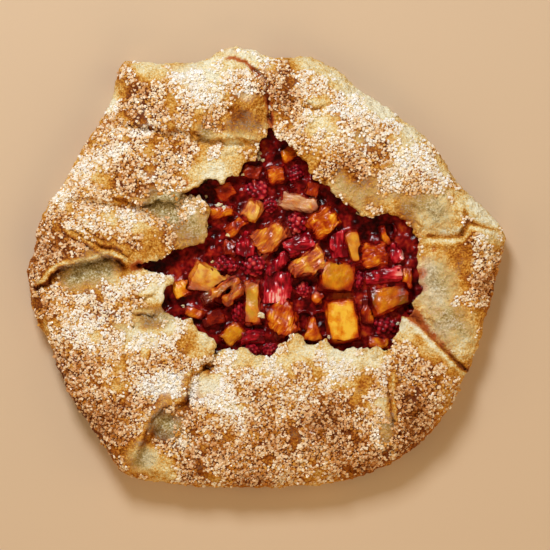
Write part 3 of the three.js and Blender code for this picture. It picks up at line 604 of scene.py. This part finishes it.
def crustLook():
    look = Look("bakedPastry")
    bake = look.attribute("bake")
    sugared = look.attribute("sugar")
    fine = look.noise(1.3 * mm, 3.0, roughness=0.65)
    broad = look.noise(6 * mm, 2.0)
    tone = bake + (fine - 0.5) * 1.3 + (broad - 0.5) * 0.45 + sugared * 0.26
    baked = look.ramp(tone, crust["bakedColours"])
    # the noise that darkens the pits also sinks them in the bump: painted shade and highlight
    moistWithPaintedShade = look.ramp(fine, crust["moistColoursWithPaintedShade"])
    dough = look.blend(baked, moistWithPaintedShade, look.clamp(look.attribute("olive"), 0.1, 0.9))
    stain = look.attribute("stain") + (fine - 0.5) * 0.6
    reddened = look.blend(dough, crust["stainColour"], look.clamp(stain, 0.1, 0.5))
    soaked = look.blend(reddened, crust["soakedColour"], look.clamp(stain, 0.7, 1.2))
    covered = sugared * 0.5 + 0.33 * (1 - look.clamp(bake, 0.45, 0.75))
    floury = look.clamp(look.attribute("frost") + (fine - 0.5) * 1.4, 0.4, 1.0) * covered
    colour = look.blend(soaked, crust["frostColour"], floury)
    flakes = look.bump(look.noise(2.4 * mm, 3.0), 2.2 * mm, 0.9)
    normal = look.bump(fine, 1.2 * mm, 0.9, flakes)
    return look.finish(Base_Color=colour, Roughness=0.65, Normal=normal, Specular_IOR_Level=0.2)


sugar = {
    "size": 1.75 * mm,
    "shapes": [(1, 1, 0.8), (1.25, 0.85, 0.8), (0.85, 0.8, 1.0)],
    "uneven": (0.7, 1.12),  # how far each corner is drawn in or out
    "apart": 1.08 * mm,  # least distance between two grains
    "most": 1900000,  # grains for each square metre, before that distance thins them
    "scales": (0.5, 1.25),  # of the smallest and the largest grain
    "turn": (6.28, 6.28, 6.28),
    "tones": (0.1, 0.4, 0.7, 1.0),  # of the four colours below
    "kinds": [  # name, share of the grains, colours from the palest bake to the darkest
        ("sugarPale", 0.40, [
            (0.98, 0.97, 0.96), (0.96, 0.84, 0.66), (0.88, 0.64, 0.41), (0.72, 0.42, 0.20)]),
        ("sugarRosy", 0.32, [
            (0.97, 0.91, 0.84), (0.87, 0.63, 0.37), (0.71, 0.36, 0.14), (0.48, 0.19, 0.05)]),
        ("sugarToasted", 0.28, [
            (0.95, 0.84, 0.64), (0.76, 0.40, 0.08), (0.50, 0.17, 0.018), (0.25, 0.07, 0.008)]),
    ],
}


def makeGrains():  # three shapes of crystal
    shapes = []
    draw = random.Random(4)
    for stretch in sugar["shapes"]:
        bpy.ops.object.select_all(action="DESELECT")
        bpy.ops.mesh.primitive_cube_add(size=sugar["size"])
        shapes.append(bpy.context.active_object)
        for v in shapes[-1].data.vertices:
            v.co = [c * s * draw.uniform(*sugar["uneven"]) for c, s in zip(v.co, stretch)]
    return shapes


class Scatter:  # a geometry node tree in the making
    def __init__(self, name):
        self.group = bpy.data.node_groups.new(name, "GeometryNodeTree")
        self.group.interface.new_socket("Geometry", in_out="INPUT", socket_type="NodeSocketGeometry")
        self.group.interface.new_socket("Geometry", in_out="OUTPUT", socket_type="NodeSocketGeometry")
        self.group.nodes.new("NodeGroupInput")

    def node(self, kind, sockets=(), out=0, **settings):
        made = self.group.nodes.new(kind)
        for key, value in settings.items():
            setattr(made, key, value)
        for key, value in dict(sockets).items():
            for source in value if isinstance(value, list) else [value]:
                if isinstance(source, bpy.types.NodeSocket):
                    self.group.links.new(source, made.inputs[key])
                else:
                    made.inputs[key].default_value = source
        return made.outputs[out]

    def attribute(self, name):
        return self.node("GeometryNodeInputNamedAttribute", {"Name": name}, "Attribute",
                         data_type="FLOAT")

    def compare(self, operation, a, b):
        return self.node("FunctionNodeCompare", {"A": a, "B": b}, data_type="FLOAT",
                         operation=operation)

    def apply(self, name, geometry):
        output = self.group.nodes.new("NodeGroupOutput")
        self.group.links.new(geometry, output.inputs[0])
        bpy.ops.object.select_all(action="DESELECT")
        bpy.ops.mesh.primitive_plane_add(size=0.01)
        piece = bpy.context.active_object
        piece.name = piece.data.name = name
        modifier = piece.modifiers.new("Scatter", "NODES")
        modifier.node_group = self.group
        bpy.ops.object.modifier_apply(modifier=modifier.name)
        return piece


def scatterGrains(name, host, shapes, low, high):  # the same points each time, and a share of them
    tree = Scatter(name)
    surface = tree.node("GeometryNodeObjectInfo", {"Object": host}, "Geometry")
    points = tree.node("GeometryNodeDistributePointsOnFaces", {
        "Mesh": surface, "Distance Min": sugar["apart"], "Density Max": sugar["most"],
        "Density Factor": tree.attribute("sugar"), "Seed": 5}, "Points", distribute_method="POISSON")
    chance = tree.node("FunctionNodeRandomValue", {"Seed": 11}, 1, data_type="FLOAT")
    marked = tree.node("GeometryNodeStoreNamedAttribute", {
        "Geometry": points, "Name": "chance", "Value": chance}, data_type="FLOAT", domain="POINT")
    drawn = tree.attribute("chance")
    above = tree.compare("GREATER_EQUAL", drawn, low)
    below = tree.compare("LESS_THAN", drawn, high)
    chosen = tree.node("FunctionNodeBooleanMath", {0: above, 1: below}, operation="AND")
    kinds = [tree.node("GeometryNodeObjectInfo", {"Object": shape, "As Instance": True}, "Geometry")
             for shape in shapes]
    mixed = tree.node("GeometryNodeJoinGeometry", {0: kinds})
    turn = tree.node("FunctionNodeRandomValue", {"Max": sugar["turn"], "Seed": 2},
                     data_type="FLOAT_VECTOR")
    smallest, largest = sugar["scales"]
    grow = tree.node("FunctionNodeRandomValue", {2: smallest, 3: largest, "Seed": 3}, 1,
                     data_type="FLOAT")
    placed = tree.node("GeometryNodeInstanceOnPoints", {
        "Points": marked, "Selection": chosen, "Instance": mixed, "Pick Instance": True, "Rotation": turn,
        "Scale": grow})
    real = tree.node("GeometryNodeRealizeInstances", {"Geometry": placed})
    return tree.apply(name, real)


def makeSugar(host):
    shapes = makeGrains()
    low = 0.0
    for name, share, colours in sugar["kinds"]:
        piece = scatterGrains(name, host, shapes, low, low + share)
        low += share
        settle(piece, sugarLook(name, colours), [])
        pickOnly(piece)
        bpy.ops.object.shade_flat()
        print(name, len(piece.data.polygons) // 6, "grains")
    for shape in shapes:
        bpy.data.objects.remove(shape)


def sugarLook(name, colours):
    look = Look(name)
    bake = look.attribute("bake")
    mottle = look.noise(2.2 * mm, 2.0)
    frost = look.clamp(look.attribute("frost"))
    tone = bake * 0.9 + (mottle - 0.5) * 0.8 - frost * 0.85
    colour = look.ramp(tone, list(zip(sugar["tones"], colours)))
    return look.finish(Base_Color=colour, Roughness=0.35, Specular_IOR_Level=0.3,
                       Coat_Weight=0.3, Coat_Roughness=0.08, Coat_IOR=1.3)


juice = {
    "voxel": 0.8 * mm,
    "rounding": 8,
    "level": 17.5,  # height of its top in the frame
    "rise": 1.6,  # how far it creeps up the fruit
    "close": 1.2 * mm,  # gaps that it fills
    "under": 1.6 * mm,  # how far it stays below the fruit's surface
    "pit": 15,  # no hollow is lower than this
    "sink": 2.2,  # depth of a hollow, which is also painted darker as shade
    "lumps": (7 * mm, 3.0 * mm),
    "ripples": (2.8 * mm, 1.3 * mm),
    "mottled": [(6, 0.5), (2, 0.35)],
    "colours": [  # from thick to thin
        (0.1, (0.022, 0.0002, 0.0006)), (0.42, (0.10, 0.0015, 0.002)), (0.68, (0.26, 0.006, 0.006)),
        (0.95, (0.46, 0.035, 0.010)), (1.0, (0.50, 0.07, 0.008)),
    ],
    "warm": [  # thin over fruit, so redder and lighter
        (60, -30, 6, 0.5), (62, -40, 6, 0.5), (44, -16, 8, 0.5), (-33, -20, 6, 0.5), (-60, -12, 6, 0.6),
        (65, -16, 7, 0.4), (0, 74, 6, 0.5), (-20, 62, 7, 0.3), (88, 12, 6, 0.3), (-50, 0, 6, 0.3),
        (50, -18.5, 5, 1), (85, 25, 5, 0.6),
    ],
    "deep": [  # hollows, sunk lower and painted darker as shade
        (-72, -1, 12, 0.4), (-60, -24, 9, 0.7), (-45, 38, 8, 1), (78, 26, 9, 1), (-38, 48, 6, 0.8),
        (2, 72, 8, 0.6), (15, 55, 6, 0.5), (64, 23, 8, 0.9), (35, 13, 6, 0.6), (93, -12, 6, 0.8),
        (-63, 5, 10, 0.3), (-7, -53, 6, 0.7), (-33, -36, 7, 0.6), (26, 76, 6, 0.6), (92, 8, 5, 0.5),
        (86, 15, 5, 0.5), (38, 36, 7, 0.8), (31, 44, 6, 0.8),
    ],
}


def fillShift(p, n):  # fills what is lower than the pits
    return Vector((0, 0, max(0, juice["pit"] - p.z) if p.z > 4 and n.z > 0.1 else 0))


def deepAt(p):
    return patchSum(juice["deep"], p.x, p.y)


def rednessAt(p, n):
    usual = rough(p, juice["mottled"]) + 0.5
    # painted shade: the hollows are darker
    return usual - 0.2 * deepAt(p) + 0.7 * patchSum(juice["warm"], p.x, p.y)


def makeJuice(fruitNodes):  # it closes round the fruit, so it starts from them too
    piece = copyNodes(["juice", *fruitNodes], "redJuice")
    moveEach(piece, lambda p, n: Vector((0, 0, juice["rise"] if abs(p.z - juice["level"]) < 0.02 else 0)))
    swell(piece, juice["close"])
    remesh(piece, juice["voxel"])
    soften(piece, juice["rounding"])
    swell(piece, -juice["close"] - juice["under"])
    moveEach(piece, fillShift)
    weigh(piece, "pulp", lambda p, n: ease(p.z, 8, 12))
    roughen(piece, juice["lumps"], "pulp", noise_depth=1)
    roughen(piece, juice["ripples"], "pulp", noise_depth=1)
    moveEach(piece, lambda p, n: Vector((0, 0, -juice["sink"] * deepAt(p) * ease(p.z, 9, 14))))
    paint(piece, "redness", rednessAt)
    settle(piece, juiceLook(), ["juice"])
    print("juice:", len(piece.data.polygons), "faces")


def juiceLook():
    look = Look("setJuice")
    tone = look.attribute("redness") + (look.noise(1.8 * mm, 2.0) - 0.5) * 0.5
    colour = look.ramp(tone, juice["colours"])
    normal = look.bump(look.noise(1.2 * mm, 2.0), 0.4 * mm, 0.6)
    return look.finish(Base_Color=colour, Roughness=0.12, Normal=normal, Specular_IOR_Level=0.17,
                       Coat_Weight=0.25, Coat_Roughness=0.04, Coat_IOR=1.3)


peach = {
    "voxel": 0.62 * mm,
    "rounding": 3,
    "grown": 0.9 * mm,  # swollen by this before it is remeshed
    "grownPeeling": 1.5 * mm,
    "shrunk": 0.4 * mm,  # and by this less after it
    "taper": 0.1,  # how much narrower its top is, as a share of its width
    "mostTaper": 1.6,
    "tilt": 0.35,  # of its top
    "foldHeight": 1.5,
    "threadHeight": 0.8,
    "colours": [  # from yellow to maroon
        (0.0, (0.92, 0.54, 0.05)), (0.2, (0.80, 0.28, 0.008)), (0.42, (0.60, 0.11, 0.003)),
        (0.66, (0.40, 0.024, 0.003)), (0.95, (0.13, 0.003, 0.002)),
    ],
    "oliveColour": (0.58, 0.34, 0.012, 1),
    "paleColour": (0.68, 0.42, 0.25, 1),
    "pieces": {  # tone, 0 yellow to 1 maroon, tear, 0 cut clean to 1 torn, and the fibres' direction
        "peach_01": (0.09, 0.15, 80), "peach_02": (0.34, 0.3, 75), "peach_03": (0.46, 0.35, 30),
        "peach_04": (0.41, 0.8, 52), "peach_05": (0.28, 1.0, 35), "peach_06": (0.4, 1.0, 65),
        "peach_07": (0.36, 0.4, 85), "peach_08": (0.12, 0.4, -35), "peach_09": (0.22, 0.5, -60),
        "peach_10": (0.5, 0.4, 20), "peach_11": (0.85, 0.3, 0), "peach_12": (0.33, 0.5, 40),
        "peach_13": (0.42, 0.4, 70), "peach_14": (0.15, 0.6, 60), "peach_15": (0.42, 0.6, 45),
        "peach_16": (0.45, 0.6, 20), "peach_17": (0.7, 0.5, 0), "peach_18": (0.8, 0.4, 60),
        "peach_19": (0.42, 1.0, 40), "peach_20": (0.5, 0.8, -20), "peach_21": (0.2, 0.1, -60),
        "peach_22": (0.42, 1.0, 20), "peach_23": (0.48, 0.5, 80), "peach_24": (0.5, 0.7, 10),
        "peach_25": (0.5, 0.5, 50), "peach_26": (0.55, 0.8, 20), "peach_27": (0.5, 0.5, 0),
        "peach_28": (0.75, 0.5, 30), "peach_29": (0.65, 0.5, 70), "peach_30": (0.55, 0.4, 10),
        "peeling_01": (0.4, 1.0, 40), "peeling_02": (0.45, 0.4, 80),
    },
    "tints": {  # how olive and how pale a piece is
        "peach_02": (0.45, 0), "peach_03": (0.3, 0), "peach_04": (0.1, 0.1), "peach_07": (0.85, 0.1),
        "peach_08": (0.2, 0.25), "peach_12": (0.4, 0), "peach_14": (0, 0.3), "peach_20": (0.2, 0.75),
        "peach_21": (0.5, 0.1), "peeling_01": (0.4, 0.1), "peach_05": (0, 0.15),
    },
    "shades": [  # redder or yellower places
        (60, -33, 5, 0.4), (60, -43, 5, 0.4), (60, -24, 5, 0.45), (51, -18.5, 5, 0.1),
        (42, -18.5, 4, 0.35), (88, -18, 6, 0.25), (84, -27, 6, 0.3), (70, -18, 6, -0.15),
        (-44, -14, 6, 0.35), (-39, -20, 6, 0.4), (-26, -14, 5, 0.3), (-38, 0, 4, -0.3),
        (-30, -2, 4, -0.3), (45, -15, 5, 0.1), (36, -14, 5, 0.25), (-3, 29, 5, -0.15), (12, 14, 5, 0.2),
        (64, 14, 6, 0.15), (10, -42, 6, 0.2), (1, -26, 5, 0.2), (-14, 36, 4, 0.35), (31, 25, 6, 0.3),
        (66, -18, 5, 0.7), (67, 8, 5, 0.25), (32, 0, 4, 0.2), (15, -27, 5, 0.3), (49, 15, 5, 0.3),
        (-20, 25, 5, 0.3),
    ],
}


def turned(d, c, s):  # a place on a piece, along its length and across it
    return d.x * c + d.y * s, -d.x * s + d.y * c


def makePeach(name, look):
    tone, tear, turn = peach["pieces"][name]
    piece = copyNodes([name], "cut_" + name)
    low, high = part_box(name)[0] / mm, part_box(name)[1] / mm
    middle = (low + high) / 2
    c, s = math.cos(math.radians(turn)), math.sin(math.radians(turn))
    modify(piece, "SUBSURF", levels=1, render_levels=1, subdivision_type="SIMPLE")
    swell(piece, peach["grownPeeling"] if name.startswith("peeling") else peach["grown"])
    remesh(piece, peach["voxel"])
    soften(piece, peach["rounding"])
    swell(piece, -peach["shrunk"])
    slope = Vector((noise.noise(middle / 3), noise.noise(middle / 3 + Vector((9, 0, 0)))))
    tall = high.z - low.z
    relief = []

    def cutShift(p, n):  # narrower and tilted at the top
        d = p - middle
        rise = ease(p.z, low.z + tall * 0.35, high.z)
        shrink = min(peach["mostTaper"], peach["taper"] * max(high.x - low.x, high.y - low.y))
        flat = Vector((d.x, d.y, 0))
        inwards = flat * (-shrink * rise / max(6.0, flat.length))
        return inwards + Vector((0, 0, rise * d.xy.dot(slope) * peach["tilt"]))

    def fibres(p, n):
        along, across = turned(p - middle, c, s)
        bend = noise.noise(p / 7) * 1.6
        fold = noise.noise(Vector((along / 8, across / 3.6 + bend, p.z / 5 + tone * 9)))
        thread = noise.noise(Vector((along / 5, across / 1.3 + bend * 2, p.z / 2.5)))
        lump = noise.noise(p / 5 + Vector((tone * 30, 0, 0)))
        torn = tear * (fold * peach["foldHeight"] + thread * peach["threadHeight"])
        height = torn + lump * (0.5 + 0.6 * tear)
        relief.append(height)
        return n * height

    moveEach(piece, cutShift)
    moveEach(piece, fibres)
    soften(piece, 1)
    heights = iter(relief)

    def edgeAt(p):
        return math.hypot((p.x - middle.x) / (high.x - low.x), (p.y - middle.y) / (high.y - low.y)) * 2

    def toneAt(p, n):
        # redder down the steep sides and near the bottom: juice stain low down, painted shade on the
        # steep sides
        sides = 0.2 * ease(1 - n.z, 0.1, 0.8) + 0.3 * ease(high.z - p.z, 2, 8)
        side = sides + 0.3 * ease(edgeAt(p), 0.55, 1.05)
        return (tone + side - next(heights) * 0.14 + noise.noise(p / 5) * 0.28
                + patchSum(peach["shades"], p.x, p.y))

    paint(piece, "tone", toneAt)
    paint(piece, "along", lambda p, n: (p.x - middle.x) * c + (p.y - middle.y) * s)
    paint(piece, "across", lambda p, n: (p.y - middle.y) * c - (p.x - middle.x) * s
          + noise.noise(p / 7) * 2)
    paint(piece, "torn", lambda p, n: tear)
    olive, pale = peach["tints"].get(name, (0, 0))

    def oliveOn(p, n):  # on the top, clear of the edge
        return olive * ease(n.z, 0.5, 0.95) * ease(edgeAt(p), 0.95, 0.55) * (1 + noise.noise(p / 4))

    paint(piece, "olive", oliveOn)
    paint(piece, "pale", lambda p, n: pale * ease(n.z, 0.2, 0.8) * (1 + noise.noise(p / 3)))
    settle(piece, look, [name])


def peachLook():
    look = Look("cookedPeach")
    tone = look.attribute("tone")
    mottle = look.noise(3.5 * mm, 3.0)
    fleck = look.noise(0.9 * mm, 2.0)
    threads = look.node("ShaderNodeCombineXYZ", {
        0: look.attribute("along") * 0.15, 1: look.attribute("across") * 0.8, 2: tone * 2})
    fibre = (look.noise(1.0, 2.0, threads) - 0.5) * look.clamp(look.attribute("torn"), 0.0, 0.8)
    ripeAndBeadShade = look.ramp(tone + (mottle - 0.5) * 0.55 + (fleck - 0.5) * 0.25 - fibre, peach["colours"])
    green = look.blend(ripeAndBeadShade, peach["oliveColour"], look.clamp(look.attribute("olive")) * 0.7)
    colour = look.blend(green, peach["paleColour"], look.clamp(look.attribute("pale")) * 0.7)
    threaded = look.bump(fibre, 0.8 * mm, 0.8)
    normal = look.bump(fleck, 0.35 * mm, 0.7, threaded)
    return look.finish(Base_Color=colour, Roughness=0.2, Normal=normal, Specular_IOR_Level=0.35,
                       Coat_Weight=0.5, Coat_Roughness=0.06, Coat_IOR=1.33, Subsurface_Weight=0.2,
                       Subsurface_Radius=(1.0, 0.35, 0.1), Subsurface_Scale=2.5 * mm)


rhubarb = {
    "voxel": 0.6 * mm,
    "rounding": 3,
    "stringHeight": 0.7,
    "lumpHeight": 1.2,
    "colours": [  # from crimson to the pale of a cut end
        (0.0, (0.13, 0.001, 0.004)), (0.35, (0.42, 0.004, 0.014)), (0.68, (0.74, 0.045, 0.055)),
        (1.0, (0.90, 0.46, 0.38)),
    ],
    "cuts": {  # a pale cut end: x, y, reach, amount
        "rhubarb_01": (7.2, -19, 6.5, 0.9), "rhubarb_05": (85, -3, 5, 0.6),
        "rhubarb_06": (86.6, 6.6, 3.5, 1.1),
    },
}


def makeRhubarb(name, look):
    piece = copyNodes([name], "cut_" + name)
    low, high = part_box(name)[0] / mm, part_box(name)[1] / mm
    middle = (low + high) / 2
    wide = high - low
    turn = 0 if wide.x > wide.y else 90
    c, s = math.cos(math.radians(turn)), math.sin(math.radians(turn))
    remesh(piece, rhubarb["voxel"])
    soften(piece, rhubarb["rounding"])

    def strings(p, n):
        along, across = turned(p - middle, c, s)
        string = noise.noise(Vector((along / 9, across / 1.1, p.z / 1.5)))
        return n * (string * rhubarb["stringHeight"] + noise.noise(p / 4) * rhubarb["lumpHeight"])

    moveEach(piece, strings)

    def paleAt(p, n):
        along, across = turned(p - middle, c, s)
        stripes = noise.noise(Vector((along / 12, across, p.z / 1.2))) * 0.5
        length = max(wide.x, wide.y)
        ends = ease(abs(along), length * 0.32, length * 0.5)
        cut = patchSum([rhubarb["cuts"][name]], p.x, p.y) if name in rhubarb["cuts"] else 0.25 * ends
        return 0.15 + stripes * (1 + cut) + noise.noise(p / 4) * 0.4 + cut

    paint(piece, "pale", paleAt)
    settle(piece, look, [name])


def rhubarbLook():
    look = Look("cookedRhubarb")
    tone = look.attribute("pale") + (look.noise(1.0 * mm, 2.0) - 0.5) * 0.25
    colour = look.ramp(tone, rhubarb["colours"])
    normal = look.bump(look.noise(0.9 * mm, 2.0), 0.25 * mm, 0.5)
    return look.finish(Base_Color=colour, Roughness=0.2, Normal=normal, Specular_IOR_Level=0.3,
                       Coat_Weight=0.5, Coat_Roughness=0.05, Coat_IOR=1.35)


raspberry = {
    "voxel": 0.5 * mm,
    "beads": 46,
    "bead": 0.19,  # its radius, and more below, on a berry of radius 1
    "beadSizes": (0.9, 1.35),
    "sunk": 0.85,  # how far out a bead's middle is
    "core": 0.84,
    "turn": 2.39996,  # from one bead to the next, the golden angle
    "dents": (6 * mm, 2.0 * mm),
    "colours": [  # from painted shade in the hollows between the beads to their tops
        (0.1, (0.09, 0.001, 0.004)), (0.45, (0.26, 0.003, 0.011)), (0.75, (0.46, 0.012, 0.028)),
        (1.0, (0.66, 0.10, 0.075)),
    ],
}


def makeBerry():  # one whole berry, 2 m high, to be fitted into each place
    bpy.ops.object.select_all(action="DESELECT")
    draw = random.Random(8)
    beads = []
    for i in range(raspberry["beads"]):
        z = 1 - 2 * (i + 0.5) / raspberry["beads"]
        ring = math.sqrt(1 - z * z)
        angle = i * raspberry["turn"]
        place = [c * raspberry["sunk"] for c in (ring * math.cos(angle), ring * math.sin(angle), z)]
        radius = raspberry["bead"] * draw.uniform(*raspberry["beadSizes"])
        bpy.ops.mesh.primitive_ico_sphere_add(subdivisions=2, radius=radius, location=place)
        beads.append(bpy.context.active_object)
    bpy.ops.mesh.primitive_ico_sphere_add(subdivisions=3, radius=raspberry["core"])
    beads.append(bpy.context.active_object)
    pickOnly(*beads)
    bpy.ops.object.join()
    bpy.ops.object.transform_apply(location=True, rotation=True, scale=True)
    return bpy.context.active_object


def makeRaspberry(name, berry, look, draw):
    low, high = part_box(name)
    middle, half = (low + high) / 2, (high - low) / 2
    pickOnly(berry)
    bpy.ops.object.duplicate()
    piece = bpy.context.active_object
    piece.name = piece.data.name = "soft_" + name
    piece.rotation_euler = (draw.uniform(0, 3), draw.uniform(0, 3), draw.uniform(0, 3))
    bpy.ops.object.transform_apply(location=False, rotation=True, scale=False)
    for v in piece.data.vertices:
        v.co = Vector(a * b for a, b in zip(v.co, half)) + middle
    remesh(piece, raspberry["voxel"])
    depths = []
    for v in piece.data.vertices:  # low between the beads, where painted shade darkens them
        offset = v.co - middle
        depths.append(Vector((offset.x / half.x, offset.y / half.y, offset.z / half.z)).length)
    roughen(piece, raspberry["dents"], noise_depth=1)
    usual = 0.5 + draw.uniform(-0.15, 0.15)
    depth = iter(depths)
    # ripeness varies at random, and painted shade darkens the hollows between the beads
    paint(piece, "ripeAndBeadShade", lambda p, n: usual + noise.noise(p / 4) * 0.4 + (next(depth) - 0.97) * 3.5)
    settle(piece, look, [name])


def raspberryLook():
    look = Look("cookedRaspberry")
    tone = look.attribute("ripeAndBeadShade") + (look.noise(1.5 * mm, 2.0) - 0.5) * 0.3
    colour = look.ramp(tone, raspberry["colours"])
    return look.finish(Base_Color=colour, Roughness=0.35, Specular_IOR_Level=0.1,
                       Coat_Weight=0.9, Coat_Roughness=0.05, Coat_IOR=1.35)


def makeFruit(names):
    looks = {"peach": peachLook(), "rhubarb": rhubarbLook(), "raspberry": raspberryLook()}
    berry = makeBerry()
    draw = random.Random(21)
    for name in names:
        if name in peach["pieces"]:
            makePeach(name, looks["peach"])
        elif name.startswith("rhubarb"):
            makeRhubarb(name, looks["rhubarb"])
        else:
            makeRaspberry(name, berry, looks["raspberry"], draw)
    bpy.data.objects.remove(berry)
    print("fruit:", len(names), "pieces")


crumbs = {
    "stretch": (1.3, 0.8, 0.4),
    "dents": (1.5 * mm, 2.0 * mm),
    "places": [  # x, y, size of loose pastry flakes on the fruit
        (-4.7, 68.5, 3.4), (-2.0, 66.6, 2.6), (-3.8, 71.0, 2.2), (-29.0, 38.2, 4.4), (-26.2, 36.4, 2.8),
        (-23.4, 19.7, 2.6), (-33.4, 2.8, 2.4), (-3.1, -30.3, 4.6), (-37.0, 43.5, 2.0), (58.0, 33.0, 1.8),
        (-51.5, -25.0, 2.0), (40.0, -44.5, 2.2), (9.0, 83.0, 2.0), (-14.0, 57.5, 1.8), (83.0, -35.5, 2.2),
    ],
}


def makeCrumbs(look):  # each flake is let down onto what lies under it
    draw = random.Random(31)
    below = bpy.context.evaluated_depsgraph_get()
    flakes = []
    for x, y, size in crumbs["places"]:
        spot = bpy.context.scene.ray_cast(below, (x * mm, y * mm, 0.1), (0, 0, -1))[1]
        bpy.ops.object.select_all(action="DESELECT")
        tilt = (draw.uniform(-0.4, 0.4), draw.uniform(-0.4, 0.4), draw.uniform(0, 3))
        bpy.ops.mesh.primitive_ico_sphere_add(subdivisions=3, radius=size * 0.5 * mm, location=spot,
                                              rotation=tilt, scale=crumbs["stretch"])
        flakes.append(bpy.context.active_object)
    pickOnly(*flakes)
    bpy.ops.object.join()
    bpy.ops.object.transform_apply(location=True, rotation=True, scale=True)
    piece = bpy.context.active_object
    piece.name = piece.data.name = "doughCrumbs"
    roughen(piece, crumbs["dents"], noise_depth=1)
    paint(piece, "bake", lambda p, n: 0.1)
    settle(piece, look, [])
    print("crumbs:", len(flakes))


stage = {
    "floor": (0.66, 0.49, 0.34),
    "floorWidth": 6,
    "room": (1.0, 0.78, 0.50),
    "roomLight": 0.13,
    "lens": 227.8,
    "camera": (0.00594, -0.0053, 2.2),
    "lights": [  # name, place, size, power, tint, whether it shows in gloss
        ("windowLight", (-0.35, 1.05, 1.15), 0.42, 20, (0.90, 0.96, 1.0), True),
        ("southBounce", (0.5, -1.3, 0.9), 1.2, 11, (1.0, 0.76, 0.45), False),
        ("eastBounce", (1.4, 0.2, 0.9), 1.2, 6, (1.0, 0.76, 0.45), False),
        ("westBounce", (-1.4, -0.3, 0.9), 1.2, 8, (1.0, 0.76, 0.45), False),
    ],
}


def makeFloor():
    bpy.ops.object.select_all(action="DESELECT")
    bpy.ops.mesh.primitive_plane_add(size=stage["floorWidth"])
    floor = bpy.context.active_object
    floor.name = "paleFloor"
    look = Look("palePaint")
    floor.data.materials.append(look.finish(Base_Color=(*stage["floor"], 1), Roughness=0.8))


def makeLights():
    for name, place, size, power, tint, glossy in stage["lights"]:
        data = bpy.data.lights.new(name, "AREA")
        data.size, data.energy, data.color = size, power, tint
        light = bpy.data.objects.new(name, data)
        light.location = place
        light.rotation_euler = (-Vector(place)).to_track_quat("-Z", "Y").to_euler()
        light.visible_glossy = glossy
        bpy.context.scene.collection.objects.link(light)
    world = bpy.data.worlds.new("room")
    bpy.context.scene.world = world
    world.use_nodes = True
    back = world.node_tree.nodes["Background"]
    back.inputs["Color"].default_value = (*stage["room"], 1)
    back.inputs["Strength"].default_value = stage["roomLight"]


def makeCamera():  # it looks straight down
    data = bpy.data.cameras.new("topCamera")
    data.lens = stage["lens"]
    data.clip_end = 20
    camera = bpy.data.objects.new("topCamera", data)
    camera.location = stage["camera"]
    bpy.context.scene.collection.objects.link(camera)
    bpy.context.scene.camera = camera
    bpy.context.scene.view_settings.view_transform = "Standard"


fruitNodes = sorted(n for n in frame["nodes"] if n not in ("crust", "juice"))
pastry = makeCrust()
makeSugar(pastry)
makeJuice(fruitNodes)
makeFruit(fruitNodes)
makeCrumbs(pastry.data.materials[0])
makeFloor()
makeLights()
makeCamera()
print("floor, lights and camera")
